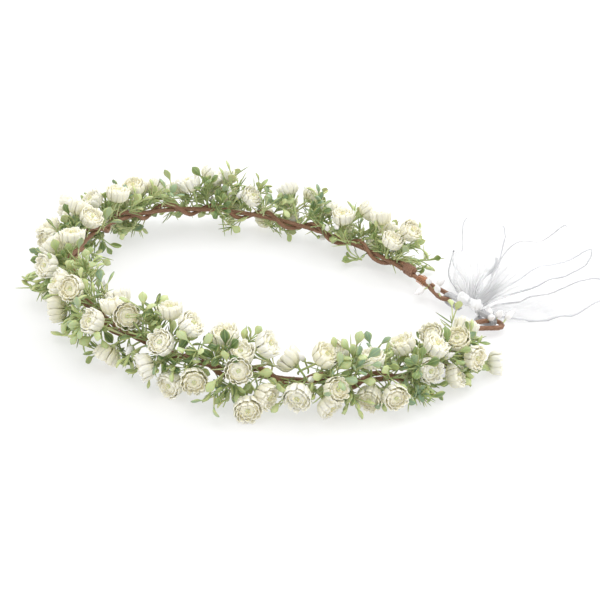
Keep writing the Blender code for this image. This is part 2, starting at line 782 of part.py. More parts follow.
def ribbon_run(start, heading, steps):
    """A run of ribbon from the knot: each step is a reach from it and a height."""
    turn = math.radians(heading)
    level = Vector((BOW_LINE.x, BOW_LINE.y, 0.0)).normalized()
    side = level * math.cos(turn) - BOW_OUT * math.sin(turn)
    points = []
    for reach, height in steps:
        across = start[0] + reach * math.sin(turn)
        points.append(bow_point(across, start[1] + reach * math.cos(turn), height))
    return points, [gathered_width(reach) for reach, _ in steps], [side] * len(points)


def loop_steps(length, low, high):
    """A flat loop: out along its lower layer, round its end and back above."""
    lower = []
    upper = []
    for share in LOOP_SHARES:
        risen = min(share * LOOP_RISE, 1.0)
        lower.append((share * length, low[0] + (low[1] - low[0]) * risen))
        upper.append((share * length, high[0] + (high[1] - high[0]) * risen))
    middle = (low[1] + high[1]) / 2.0
    half = (high[1] - low[1]) / 2.0
    shoulder = length - 0.3 * half
    fold = [(shoulder, low[1] + 0.25 * half), (length, middle), (shoulder, high[1] - 0.25 * half)]
    return lower + fold + list(reversed(upper))


def ribbon_runs():
    left_loop = loop_steps(*LEFT_LOOP)
    right_loop = loop_steps(*RIGHT_LOOP)
    return {
        "ribbon_loop_left": ribbon_run((-LOOP_START, LOOP_OUT), LEFT_LOOP_HEADING, left_loop),
        "ribbon_loop_right": ribbon_run((LOOP_START, LOOP_OUT), RIGHT_LOOP_HEADING, right_loop),
        "ribbon_tail_left": ribbon_run((-TAIL_START, LOOP_OUT), LEFT_TAIL_HEADING, LEFT_TAIL_STEPS),
        "ribbon_tail_right": ribbon_run((TAIL_START, LOOP_OUT), RIGHT_TAIL_HEADING, RIGHT_TAIL_STEPS),
    }


def build_knot():
    bm = bmesh.new()
    bmesh.ops.create_icosphere(bm, subdivisions=2, radius=1.0)
    size = Matrix.Diagonal((*KNOT_HALF_SIZE, 1.0))
    turn = Matrix((BOW_LINE, BOW_OUT, BOW_UP)).transposed().to_4x4()
    place = Matrix.Translation(bow_place(KNOT_CENTRE))
    bm.transform(place @ turn @ size)
    return add_object("ribbon_knot", bm, ORGANZA)


def bow_place(offset):
    return BOW_MIDDLE + BOW_LINE * offset[0] + BOW_OUT * offset[1] + BOW_UP * offset[2]


def tie_line():
    """Half the tie's line by its reach from the knot and its height, out over the wire."""
    near = KNOT_HALF_SIZE[0] + GAP
    far = BOW_HALF_SPAN
    rise = TIE_HALF_HEIGHT
    return [
        (near, 0.5 * rise),
        (near + TIE_MOUTH, 0.9 * rise),
        (far - 2.0 * TIE_LAP, rise),
        (far + TIE_LAP, rise),
        (far + 0.6 * rise, 0.8 * rise),
        (far + rise, 0.3 * rise),
    ]


def build_tie(name, sign):
    """The gathered ribbon from the knot over an eyelet's wire, through it and back under."""
    over = tie_line()
    line = over + [(reach, -rise) for reach, rise in reversed(over)]
    points = [bow_place((sign * reach, 0.0, rise)) for reach, rise in line]
    bm = bmesh.new()
    strip(bm, points, [TIE_WIDTH] * len(points), [BOW_OUT] * len(points), TIE_THICKNESS)
    return add_object(name, bm, ORGANZA)


def build_ribbon(runs):
    build_tie("ribbon_tie_left", 1.0)
    build_tie("ribbon_tie_right", -1.0)
    bow = [build_knot()]
    for name, (points, widths, sideways) in runs.items():
        bm = bmesh.new()
        strip(bm, points, widths, sideways, RIBBON_THICKNESS)
        bow.append(add_object(name, bm, ORGANZA))
    pivot = bpy.data.objects.new("bow_pivot", None)
    pivot.location = BOW_MIDDLE
    bpy.context.scene.collection.objects.link(pivot)
    bpy.context.view_layer.update()
    for obj in bow:
        obj.parent = pivot
        obj.matrix_parent_inverse = pivot.matrix_world.inverted()


def main():
    clear_scene()
    build_strand(hoop_strand_points(), "hoop_wire", "hoop_paper_wrap")
    build_strand(wound_strand_points(), "vine_wire", "vine_paper_wrap")
    build_tape("left_end_tape", TAPE_START)
    build_tape("right_end_tape", VINE_LENGTH - TAPE_START - TAPE_LENGTH)
    build_wrap("left_eyelet_wrap", "left")
    build_wrap("right_eyelet_wrap", "right")
    runs = ribbon_runs()
    build_ribbon(runs)
    build_sprigs(list(runs.values()))


main()
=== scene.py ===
"""Looks for the flower crown: paper-covered twist, moulded blossoms, leaves and buds, organza bow."""

import math
import random

import bpy
import numpy as np
from mathutils import Matrix, Vector, noise


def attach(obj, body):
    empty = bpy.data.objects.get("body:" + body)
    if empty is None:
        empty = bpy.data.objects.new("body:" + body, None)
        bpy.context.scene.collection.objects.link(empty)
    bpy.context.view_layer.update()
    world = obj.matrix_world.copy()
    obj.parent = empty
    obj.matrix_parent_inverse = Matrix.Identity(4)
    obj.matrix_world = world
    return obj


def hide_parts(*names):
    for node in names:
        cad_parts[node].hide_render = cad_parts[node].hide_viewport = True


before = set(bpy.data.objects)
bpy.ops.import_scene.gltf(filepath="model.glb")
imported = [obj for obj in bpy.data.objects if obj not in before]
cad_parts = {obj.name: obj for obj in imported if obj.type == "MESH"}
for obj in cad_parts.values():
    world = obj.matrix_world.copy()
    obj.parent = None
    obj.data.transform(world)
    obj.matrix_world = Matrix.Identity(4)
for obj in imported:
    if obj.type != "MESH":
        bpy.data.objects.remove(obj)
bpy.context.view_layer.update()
FULL_TURN = 2.0 * math.pi

# Camera
VIEW_AZIMUTH = math.radians(96.22)
VIEW_ELEVATION = math.radians(28.1)
VIEW_ROLL = math.radians(8.0)
VIEW_DISTANCE = 0.55
VIEW_TARGET = Vector((0.0, 0.0, 0.012))
VIEW_SLIDE = (0.0141, -0.0066)
LENS_MM = 69.94
SENSOR_MM = 36.0

# Table and light: a light is its place, diameter and watts
TABLE_HALF = 4.0
TABLE_GLOW = 0.56
SKY_LEVEL = 1.2
WINDOW = ((-0.7, 0.5, 0.9), 0.7, 5.0)
OVERHEAD = ((0.1, -0.2, 1.1), 0.9, 3.0)

# Blossoms: reach from the axis and height of each whorl's petal line, as shares of radius and height
BLOSSOM_RADIUS = 0.0056
BLOSSOM_HEIGHT = 0.0082
OUTER_WHORL = ((0.13, 0.10), (0.70, 0.22), (0.96, 0.45), (1.00, 0.72), (1.02, 0.97))
MIDDLE_WHORL = ((0.20, 0.42), (0.52, 0.54), (0.75, 0.68), (0.82, 0.84), (0.80, 1.00))
INNER_WHORL = ((0.14, 0.60), (0.34, 0.66), (0.50, 0.74), (0.56, 0.86), (0.53, 0.98))
CORE_PROFILE = ((0.10, 0.16), (0.50, 0.36), (0.74, 0.58), (0.68, 0.76), (0.40, 0.80), (0.14, 0.80))
PETAL_THICKNESS = 0.00020
PETALS = ((11, 18.0, 0.0), (9, 22.0, 0.5), (6, 32.0, 0.2))  # count, half angle, turn in petal steps
HEART_FOOT = 0.66 * BLOSSOM_HEIGHT
HEART_PROFILE = ((0.0003, 0.0), (0.0011, 0.0004), (0.0010, 0.0011), (0.0005, 0.0014), (0.0002, 0.0011))
THREADS = 9
SEPALS = 5
SEPAL_THICKNESS = 0.00022
CALYX_HEIGHT = 0.0024
CALYX_FOOT = 0.0007
CALYX_PROFILE = ((0.00045, -0.0004), (0.00085, 0.0), (0.00125, 0.0008), (0.00140, 0.0016), (0.0008, 0.0020))

# Greens
SPRIG_SEED = 5
LEAF_LENGTH = 0.0068
LEAF_WIDTH = 0.0038
LEAF_THICKNESS = 0.00120
LEAF_SHOULDER = 0.66
NEEDLE_REACH = 0.0072
NEEDLE_LENGTHS = (0.0062, 0.0102)
STEM_RADIUS = 0.00040
STEM_HEAD_RADIUS = 0.00052
TWIG_LENGTHS = (0.0024, 0.0080)
SIDE_SHOOTS = 12
SHOOT_LENGTHS = (0.008, 0.017)
DROOPS = 4
DROOP_LENGTHS = (0.013, 0.020)
INWARD_LIMIT = -0.25
END_BUDS = 4
END_BUD_PLACE = 24
END_BUD_LENGTHS = (0.0058, 0.0072)
END_BUD_SPACING = 0.0035
TABLE_GAP = 0.0004
TABLE_ROOM = TABLE_GAP + 0.0006

# Room that added greens keep: from the middle of a blossom, and from a strand
LEAF_ROOM = 0.0047
SHOOT_ROOM = 0.0042
SHOOT_NEEDLE_ROOM = 0.0044
DROOP_ROOM = 0.0050
END_BUD_ROOM = 0.0052
LEAF_OFF_STRAND = 0.0022
NEEDLE_OFF_STRAND = 0.0016
BUD_OFF_STRAND = 0.0030

# Strands, tapes and wraps
STRAND_RADIUS = 0.00098
STRAND_SIDES = 20
STRAND_STEP = 0.0008
CREASES = 4.0
CREASE_PITCH = 0.011
CREASE_DEPTH = 0.00024
WRAP_RADIUS = 0.0002
TAPE_SIDES = 40
TAPE_STEPS = 72
TAPE_PITCH = 0.0017
TAPE_INSET = 0.00030
TAPE_LAP = 0.00022
TAPE_CRUMPLE = 0.00008
TAPE_END_DROP = 0.00035

# Ribbon
RIBBON_WIDTH = 0.024
TIE_WIDTH = 0.003
RIBBON_THREAD = 0.00035
HEM = 0.03
HEM_THICKNESS = 0.00030
CLOTH_THICKNESS = 0.00012
PLEATS = 5
PLEAT_COLUMNS = 60
PLEAT_LIMIT = 0.0007
PLEAT_EASE = 0.00042
EASE_CHANGE = 0.0002
BROAD_FOLD = 0.0013
EDGE_SWAY = 0.0012
EDGE_WAVE = 0.0016
LOOP_LIFTS = {"left": 0.003, "right": 0.009}
KNOT_STRETCH = 1.45
KNOT_SIDES = 64
KNOT_STEPS = 32
BOW_NODES = ("ribbon_knot", "ribbon_loop_left", "ribbon_loop_right", "ribbon_tail_left", "ribbon_tail_right")


# ---- reading the solids


def middle_of(points):
    return sum(points, Vector()) / len(points)


class Solid:
    """A node's solid with its loose corners joined, for finding rings and centre lines."""

    def __init__(self, node):
        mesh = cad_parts[node].data
        keys = {}
        joined = []
        self.points = []
        for vertex in mesh.vertices:
            key = tuple(round(c, 6) for c in vertex.co)
            if key not in keys:
                keys[key] = len(self.points)
                self.points.append(Vector(vertex.co))
            joined.append(keys[key])
        self.near = [set() for _ in self.points]
        for edge in mesh.edges:
            a, b = (joined[i] for i in edge.vertices)
            if a != b:
                self.near[a].add(b)
                self.near[b].add(a)

    def rings(self, start, count=10000):
        """Rings of corners met on the way out from a corner."""
        seen = set(start)
        ring = set(start)
        rings = []
        for _ in range(count):
            ring = {j for i in ring for j in self.near[i]} - seen
            if not ring:
                break
            seen |= ring
            rings.append(ring)
        return rings

    def middle(self, ring):
        return middle_of([self.points[i] for i in ring])

    def tips(self, sides, shortest):
        """Corners where as many equal edges meet as a closing fan has sides."""
        found = []
        for i, near in enumerate(self.near):
            if len(near) != sides:
                continue
            lengths = [(self.points[j] - self.points[i]).length for j in near]
            if min(lengths) > shortest and max(lengths) - min(lengths) < 0.02 * max(lengths):
                found.append(i)
        return found

    def centre_line(self):
        """Middles of a bar's sections from one end to the other."""
        start = 0
        for _ in range(2):
            start = self.rings([start])[-1].copy().pop()
        end = {start} | {j for j in self.near[start] if (self.points[j] - self.points[start]).length < 0.001}
        return [self.middle(ring) for ring in (end, *self.rings(end))]


def read_heads(node, shortest, ring_count):
    """Solid, tip, rim and stem line of every head on a sprig that ends in a six-sided fan."""
    solid = Solid(node)
    for tip in solid.tips(6, shortest):
        rings = solid.rings([tip], ring_count)
        yield solid, tip, rings[0], [solid.middle(ring) for ring in rings[:-4:-1]]


def read_blossoms(node):
    """Base, axis, size and stem line of every blossom on a sprig."""
    found = []
    for solid, _, rim, stem in read_heads(node, 0.004, 6):
        centre = solid.middle(rim)
        size = (solid.points[next(iter(rim))] - centre).length / BLOSSOM_RADIUS
        found.append((stem[-1], (centre - stem[-1]).normalized(), size, stem))
    return found


def read_buds(node):
    """Base, axis, length and stem line of every bud on a sprig."""
    found = []
    for solid, tip, _, stem in read_heads(node, 0.0015, 5):
        axis = solid.points[tip] - stem[-1]
        found.append((stem[-1], axis.normalized(), axis.length, stem))
    return found


def read_leaves(node):
    """Base, axis, width direction and stem line of every leaf on a sprig."""
    solid = Solid(node)
    found = []
    for tip, near in enumerate(solid.near):
        if len(near) != 4:
            continue
        rings = solid.rings([tip], 4)
        if [len(ring) for ring in rings[:3]] != [4, 4, 4]:
            continue
        corners = [solid.points[i] for i in rings[0]]
        widest = max(((a - b) for a in corners for b in corners), key=lambda d: d.length)
        if not 0.8 * LEAF_WIDTH < widest.length < 1.3 * LEAF_WIDTH:
            continue
        start = solid.middle(rings[1])
        axis = (solid.points[tip] - start).normalized()
        found.append((start, axis, widest.normalized(), [solid.middle(ring) for ring in rings[3:0:-1]]))
    return found


# ---- node helpers


class Nodes:
    """Adds nodes to a tree and links them, so that a tree reads as a list of steps."""

    def __init__(self, tree):
        self.tree = tree

    def add(self, kind, inputs=None, **settings):
        node = self.tree.nodes.new(kind)
        for name, value in settings.items():
            setattr(node, name, value)
        for name, value in (inputs or {}).items():
            self.put(node.inputs[name], value)
        return node

    def put(self, socket, value):
        if isinstance(value, bpy.types.Node):
            value = next(s for s in value.outputs if s.enabled)
        if isinstance(value, bpy.types.NodeSocket):
            self.tree.links.new(value, socket)
        else:
            socket.default_value = value

    def math(self, operation, first, second=0.0, third=0.0):
        return self.add("ShaderNodeMath", {0: first, 1: second, 2: third}, operation=operation)

    def times(self, first, second):
        return self.math("MULTIPLY", first, second)

    def attribute(self, name, kind="FLOAT"):
        return self.add("GeometryNodeInputNamedAttribute", {"Name": name}, data_type=kind)

    def store(self, geometry, name, value):
        inputs = {"Geometry": geometry, "Name": name, "Value": value}
        return self.add("GeometryNodeStoreNamedAttribute", inputs, data_type="FLOAT")

    def lumps(self, seed, scale, detail):
        inputs = {"W": seed, "Scale": scale, "Detail": detail}
        return self.add("ShaderNodeTexNoise", inputs, noise_dimensions="4D").outputs["Fac"]


def geometry_tree(name, inputs):
    """An empty tree from geometry to geometry, with more inputs of the given labels and kinds."""
    tree = bpy.data.node_groups.new(name, "GeometryNodeTree")
    for label, kind in (("Geometry", "NodeSocketGeometry"), *inputs, ("Material", "NodeSocketMaterial")):
        tree.interface.new_socket(label, in_out="INPUT", socket_type=kind)
    tree.interface.new_socket("Geometry", in_out="OUTPUT", socket_type="NodeSocketGeometry")
    nodes = Nodes(tree)
    return tree, nodes, nodes.add("NodeGroupInput").outputs


def close_tree(nodes, geometry, take):
    real = nodes.add("GeometryNodeRealizeInstances", {"Geometry": geometry})
    finish = nodes.add("GeometryNodeSetMaterial", {"Geometry": real, "Material": take["Material"]})
    nodes.add("NodeGroupOutput", {"Geometry": finish})


def scatter_tree():
    """Puts one of a set of shapes on every point, turned and sized by the point's own values."""
    tree, nodes, take = geometry_tree("scatter shapes", (("Shapes", "NodeSocketCollection"),))
    shapes = nodes.add(
        "GeometryNodeCollectionInfo",
        {"Collection": take["Shapes"], "Separate Children": True, "Reset Children": True},
    )
    placed = nodes.add(
        "GeometryNodeInstanceOnPoints",
        {
            "Points": take["Geometry"],
            "Instance": shapes,
            "Pick Instance": True,
            "Instance Index": nodes.add("FunctionNodeRandomValue", {"Seed": 3}, data_type="INT"),
            "Rotation": nodes.add("FunctionNodeEulerToRotation", {0: nodes.attribute("turn", "FLOAT_VECTOR")}),
            "Scale": nodes.attribute("size", "FLOAT_VECTOR"),
        },
    )
    close_tree(nodes, placed, take)
    return tree


def tube_along(nodes, line, sides, radius, scale=None):
    """A closed round tube along a curve, whose turn round the curve is kept."""
    circle = nodes.add("GeometryNodeCurvePrimitiveCircle", {"Resolution": sides, "Radius": radius})
    turn = nodes.add("GeometryNodeSplineParameter").outputs["Factor"]
    profile = nodes.store(circle.outputs["Curve"], "around", turn)
    inputs = {"Curve": line, "Profile Curve": profile, "Fill Caps": True}
    if scale:
        inputs["Scale"] = scale
    return nodes.add("GeometryNodeCurveToMesh", inputs)


def stem_tree():
    """Round bars along lines of points, as thick as each point says."""
    tree, nodes, take = geometry_tree("round stems", (("Sides", "NodeSocketInt"),))
    line = nodes.add("GeometryNodeMeshToCurve", {"Mesh": take["Geometry"]})
    close_tree(nodes, tube_along(nodes, line, take["Sides"], 1.0, nodes.attribute("thick")), take)
    return tree


def strand_tree():
    """A creased paper tube: its folds wind round it, and its length and turn are kept."""
    tree, nodes, take = geometry_tree("paper strand", (("Seed", "NodeSocketFloat"),))
    line = nodes.add("GeometryNodeMeshToCurve", {"Mesh": take["Geometry"]})
    even = nodes.add("GeometryNodeResampleCurve", {"Curve": line, "Length": STRAND_STEP}, mode="LENGTH")
    length = nodes.add("GeometryNodeSplineParameter").outputs["Length"]
    tube = tube_along(nodes, nodes.store(even, "along", length), STRAND_SIDES, STRAND_RADIUS)
    wind = nodes.math("DIVIDE", nodes.attribute("along"), CREASE_PITCH)
    fold = nodes.math("MULTIPLY_ADD", nodes.attribute("around"), CREASES, wind)
    waver = nodes.math("MULTIPLY_ADD", nodes.lumps(take["Seed"], 260.0, 3.0), 1.6, fold)
    wave = nodes.math("SINE", nodes.times(waver, FULL_TURN))
    ridge = nodes.math("SUBTRACT", 1.0, nodes.math("ABSOLUTE", wave))
    swell = nodes.math("MULTIPLY_ADD", nodes.lumps(take["Seed"], 330.0, 1.0), 1.6, -0.75)
    depth = nodes.times(nodes.math("ADD", ridge, swell), CREASE_DEPTH)
    out = {0: nodes.add("GeometryNodeInputNormal"), "Scale": depth}
    push = nodes.add("ShaderNodeVectorMath", out, operation="SCALE").outputs["Vector"]
    close_tree(nodes, nodes.add("GeometryNodeSetPosition", {"Geometry": tube, "Offset": push}), take)
    return tree


def add_object(name, data, *materials):
    """A new object in the scene, with its materials."""
    thing = bpy.data.objects.new(name, data)
    bpy.context.scene.collection.objects.link(thing)
    for material in materials:
        data.materials.append(material)
    return thing


def grown(name, source, tree, material, **values):
    """The plain mesh that a tree makes of a source mesh."""
    thing = add_object(name, source)
    modifier = thing.modifiers.new("grow", "NODES")
    modifier.node_group = tree
    values["Material"] = material
    for item in tree.interface.items_tree:
        if item.in_out == "INPUT" and item.name in values:
            modifier[item.identifier] = values[item.name]
    graph = bpy.context.evaluated_depsgraph_get()
    mesh = bpy.data.meshes.new_from_object(thing.evaluated_get(graph))
    thing.modifiers.remove(modifier)
    thing.data = mesh
    mesh.name = name
    mesh.materials.clear()
    mesh.materials.append(material)
    mesh.polygons.foreach_set("material_index", [0] * len(mesh.polygons))
    mesh.shade_smooth()
    return thing


def keep_values(mesh, label, values, kind="FLOAT"):
    """Stores a number or a vector on every point of a mesh."""
    field = "value" if kind == "FLOAT" else "vector"
    mesh.attributes.new(label, kind, "POINT").data.foreach_set(field, values)


def point_cloud(name, places):
    """Points that carry a turn, a size and a tint. A place is a matrix, a size and a tint."""
    mesh = bpy.data.meshes.new(name)
    mesh.from_pydata([matrix.translation for matrix, _, _ in places], [], [])
    turns = [angle for matrix, _, _ in places for angle in matrix.to_euler()]
    keep_values(mesh, "turn", turns, "FLOAT_VECTOR")
    keep_values(mesh, "size", [part for _, scale, _ in places for part in scale], "FLOAT_VECTOR")
    keep_values(mesh, "tint", [shade for _, _, shade in places])
    return mesh


def line_mesh(name, lines):
    """Chains of edges from lines of points; each line has its radii and a tint."""
    verts, edges, thick, tint = [], [], [], []
    for points, radii, shade in lines:
        first = len(verts)
        verts += points
        edges += [(first + i, first + i + 1) for i in range(len(points) - 1)]
        thick += radii
        tint += [shade] * len(points)
    mesh = bpy.data.meshes.new(name)
    mesh.from_pydata(verts, edges, [])
    keep_values(mesh, "thick", thick)
    keep_values(mesh, "tint", tint)
    return mesh


def smooth_line(points, steps=4):
    """A smooth line through the points (Catmull-Rom)."""
    line = []
    padded = [2.0 * points[0] - points[1], *points, 2.0 * points[-1] - points[-2]]
    for a, b, c, d in zip(padded, padded[1:], padded[2:], padded[3:]):
        for i in range(steps):
            t = i / steps
            line.append(
                0.5 * (2.0 * b + (c - a) * t + (2.0 * a - 5.0 * b + 4.0 * c - d) * t * t
                       + (3.0 * b - a - 3.0 * c + d) * t * t * t)
            )
    return line + [points[-1]]


def frame_of(origin, axis, side=None):
    """A matrix whose Z runs along the axis and whose X is close to the side."""
    side = side or axis.orthogonal()
    side = (side - axis * side.dot(axis)).normalized()
    rows = Matrix((side, axis.cross(side), axis)).transposed().to_4x4()
    rows.translation = origin
    return rows


# ---- materials


class Finish(Nodes):
    """A material, and the steps that colour and roughen it."""

    def __init__(self, name, **values):
        self.material = bpy.data.materials.new(name)
        self.material.use_nodes = True
        super().__init__(self.material.node_tree)
        self.inputs = self.tree.nodes["Principled BSDF"].inputs
        for socket, value in values.items():
            self.inputs[socket.replace("_", " ")].default_value = value

    def place(self, kind):
        return self.add("ShaderNodeTexCoord").outputs[kind]

    def own(self, name):
        """A value that the piece carries on its points."""
        return self.add("ShaderNodeAttribute", attribute_name=name).outputs["Fac"]

    def flat_place(self):
        """Across and along a piece's own flat pattern."""
        split = self.add("ShaderNodeSeparateXYZ", {"Vector": self.place("UV")})
        return split.outputs["X"], split.outputs["Y"]

    def spots(self, scale):
        inputs = {"Vector": self.place("Object"), "Scale": scale, "Detail": 4.0}
        return self.add("ShaderNodeTexNoise", inputs).outputs["Fac"]

    def waves(self, kind, scale, distortion, detail=2.0, **settings):
        inputs = {"Vector": self.place(kind), "Scale": scale, "Distortion": distortion, "Detail": detail}
        return self.add("ShaderNodeTexWave", inputs, **settings).outputs["Fac"]

    def ramp(self, factor, *stops):
        """A colour that goes from stop to stop; a stop is a place and a colour."""
        node = self.add("ShaderNodeValToRGB", {"Fac": factor})
        while len(node.color_ramp.elements) < len(stops):
            node.color_ramp.elements.new(0.5)
        for element, (place, colour) in zip(node.color_ramp.elements, stops):
            element.position = place
            element.color = (*colour, 1.0)
        return node.outputs["Color"]

    def mixed(self, factor, first, second, blend="MIX"):
        node = self.add("ShaderNodeMix", data_type="RGBA", blend_type=blend)
        for label, value in (("Factor", factor), ("A", first), ("B", (*second, 1.0))):
            self.put(next(s for s in node.inputs if s.name == label and s.enabled), value)
        return next(s for s in node.outputs if s.enabled)

    def spread(self, value, low, high, start=0.0):
        """A value stretched to run from low to high."""
        inputs = {"Value": value, "From Min": start, "To Min": low, "To Max": high}
        return self.add("ShaderNodeMapRange", inputs).outputs["Result"]

    def paint(self, colour):
        self.put(self.inputs["Base Color"], colour)

    def bump(self, height, strength, distance=0.0002):
        node = self.add("ShaderNodeBump", {"Height": height, "Strength": strength, "Distance": distance})
        self.put(self.inputs["Normal"], node.outputs["Normal"])


def petal_plastic():
    finish = Finish(
        "petal_plastic", Roughness=0.42, IOR=1.4,
        Subsurface_Weight=0.6, Subsurface_Scale=0.0014, Subsurface_Radius=(1.0, 0.95, 0.7),
    )
    _, along = finish.flat_place()
    # Colour along the petal: partly its own cream tint with a yellowish foot, partly painted shade, green bounce
    # light and warm glow, which grow toward the foot deep in the cup.
    base = finish.ramp(
        along,
        (0.0, (0.78, 0.78, 0.40)),
        (0.3, (0.95, 0.91, 0.62)),
        (0.65, (0.955, 0.925, 0.74)),
        (0.97, (0.955, 0.935, 0.81)),
    )
    toned = finish.mixed(finish.times(finish.own("tint"), 0.5), base, (0.90, 0.84, 0.64), "MULTIPLY")
    finish.paint(finish.mixed(finish.times(finish.spots(420.0), 0.22), toned, (0.80, 0.76, 0.58)))
    finish.bump(finish.waves("UV", 3.4, 1.6), 0.22)
    return finish.material


def heart_plastic():
    finish = Finish("heart_plastic", Roughness=0.5, Subsurface_Weight=0.2, Subsurface_Scale=0.002)
    spots = finish.spots(2200.0)
    finish.paint(finish.ramp(spots, (0.35, (0.60, 0.60, 0.26)), (0.65, (0.90, 0.86, 0.58))))
    finish.bump(spots, 0.6)
    return finish.material


def leaf_plastic():
    """Four greens by tint, with a paler edge and rib."""
    finish = Finish(
        "leaf_plastic", Roughness=0.38, Specular_IOR_Level=0.5,
        Subsurface_Weight=0.12, Subsurface_Scale=0.002,
    )
    across, _ = finish.flat_place()
    tone = finish.ramp(
        finish.own("tint"),
        (0.0, (0.08, 0.14, 0.04)),
        (0.3, (0.20, 0.28, 0.09)),
        (0.65, (0.60, 0.67, 0.36)),
        (1.0, (0.21, 0.31, 0.21)),
    )
    edge = finish.math("ABSOLUTE", finish.math("SUBTRACT", across, 0.5))
    toward_edge = finish.math("POWER", finish.times(edge, 2.0), 3.0)
    pale = finish.math("SMOOTH_MIN", finish.times(toward_edge, 0.7), 1.0, 0.1)
    edged = finish.mixed(pale, tone, (0.50, 0.58, 0.22))
    rib = finish.math("LESS_THAN", edge, 0.045)
    ribbed = finish.mixed(finish.times(rib, 0.35), edged, (0.44, 0.54, 0.20))
    blotch = finish.times(finish.spots(600.0), 0.35)
    finish.paint(finish.mixed(blotch, ribbed, (0.55, 0.60, 0.30), "MULTIPLY"))
    finish.bump(finish.waves("UV", 5.0, 2.0, bands_direction="DIAGONAL"), 0.10)
    return finish.material


def stem_plastic():
    finish = Finish("stem_plastic", Roughness=0.42, Subsurface_Weight=0.1, Subsurface_Scale=0.001)
    greens = ((0.0, (0.10, 0.17, 0.05)), (0.45, (0.36, 0.45, 0.17)), (1.0, (0.66, 0.69, 0.40)))
    tone = finish.ramp(finish.own("tint"), *greens)
    scuff = finish.spots(900.0)
    finish.paint(finish.mixed(finish.times(scuff, 0.4), tone, (0.42, 0.46, 0.20)))
    finish.bump(scuff, 0.25)
    return finish.material


def bud_plastic():
    finish = Finish(
        "bud_plastic", Roughness=0.33, Coat_Weight=0.15,
        Subsurface_Weight=0.25, Subsurface_Scale=0.002, Subsurface_Radius=(1.0, 1.0, 1.0),
    )
    _, along = finish.flat_place()
    whites = ((0.0, (0.60, 0.64, 0.42)), (0.14, (0.80, 0.79, 0.77)), (1.0, (0.85, 0.83, 0.84)))
    base = finish.ramp(along, *whites)
    finish.paint(finish.mixed(finish.times(finish.spots(700.0), 0.15), base, (0.86, 0.82, 0.78)))
    finish.bump(finish.spots(1500.0), 0.12)
    return finish.material


def strand_paper():
    """Brown paper whose fibres follow the winding creases."""
    finish = Finish("strand_paper", Roughness=0.5, Specular_IOR_Level=0.4)
    run = finish.own("along")
    fold = finish.math("MULTIPLY_ADD", finish.own("around"), CREASES, finish.math("DIVIDE", run, CREASE_PITCH))
    place = finish.add("ShaderNodeCombineXYZ", {"X": finish.times(fold, 9.0), "Y": finish.times(run, 90.0)})
    inputs = {"Vector": place, "Scale": 2.2, "Detail": 6.0}
    fibres = finish.add("ShaderNodeTexNoise", inputs).outputs["Fac"]
    browns = ((0.3, (0.028, 0.011, 0.005)), (0.5, (0.21, 0.098, 0.050)), (0.72, (0.66, 0.41, 0.27)))
    tone = finish.ramp(fibres, *browns)
    finish.paint(finish.mixed(finish.times(finish.spots(90.0), 0.25), tone, (0.28, 0.14, 0.075)))
    finish.put(finish.inputs["Roughness"], finish.spread(fibres, 0.62, 0.38))
    finish.bump(fibres, 0.7)
    return finish.material


def wrap_wire():
    finish = Finish("wrap_wire", Metallic=1.0, Roughness=0.3)
    dull = finish.spots(1500.0)
    finish.paint(finish.ramp(dull, (0.3, (0.42, 0.17, 0.08)), (0.7, (0.78, 0.42, 0.25))))
    finish.put(finish.inputs["Roughness"], finish.spread(dull, 0.45, 0.22))
    return finish.material


def core_steel():
    finish = Finish("core_steel", Metallic=1.0, Roughness=0.35)
    finish.paint(finish.ramp(finish.spots(800.0), (0.3, (0.30, 0.30, 0.31)), (0.7, (0.58, 0.58, 0.60))))
    return finish.material


def end_tape():
    finish = Finish("end_tape", Roughness=0.75, Sheen_Weight=0.1)
    crepe = finish.waves("Object", 900.0, 5.0, 3.0)
    finish.paint(finish.ramp(crepe, (0.2, (0.13, 0.058, 0.032)), (0.8, (0.37, 0.20, 0.12))))
    finish.bump(crepe, 0.5)
    return finish.material


def organza(name, thinnest, densest):
    """Sheer plain weave: the threads carry the colour, and the hems are denser and painted a dark grey as shade.
    """
    finish = Finish(
        name, Roughness=0.4, Specular_IOR_Level=0.3,
        Subsurface_Weight=0.9, Subsurface_Scale=0.003, Subsurface_Radius=(1.0, 1.0, 1.0),
    )
    across, along = finish.flat_place()
    weft, warp = (finish.math("SINE", finish.times(way, FULL_TURN / RIBBON_THREAD)) for way in (across, along))
    thread = finish.math("MAXIMUM", weft, warp)
    cloudy = finish.spots(70.0)
    hem = finish.own("hem")
    sheer = finish.spread(thread, thinnest, densest, start=-1.0)
    dense = finish.math("MAXIMUM", sheer, finish.times(hem, 0.85))
    finish.put(finish.inputs["Alpha"], finish.math("ADD", dense, finish.times(cloudy, 0.06)))
    cloth = finish.ramp(cloudy, (0.3, (0.86, 0.865, 0.885)), (0.7, (0.94, 0.945, 0.955)))
    # Painted shade: the hems are darkened toward a dark grey, most where the ribbon is least gathered.
    painted_hem_shade = finish.times(finish.math("MAXIMUM", finish.math("SUBTRACT", hem, 0.5), 0.0), 1.7)
    finish.paint(finish.mixed(painted_hem_shade, cloth, (0.20, 0.21, 0.23)))
    finish.bump(thread, 0.2, 0.00005)
    return finish.material


def table_white():
    glow = (1.0, 1.0, 1.0, 1.0)
    finish = Finish("table_white", Roughness=0.6, Emission_Strength=TABLE_GLOW, Emission_Color=glow)
    finish.paint(finish.ramp(finish.spots(3.0), (0.3, (0.335, 0.335, 0.335)), (0.7, (0.35, 0.35, 0.35))))
    return finish.material


# ---- shapes


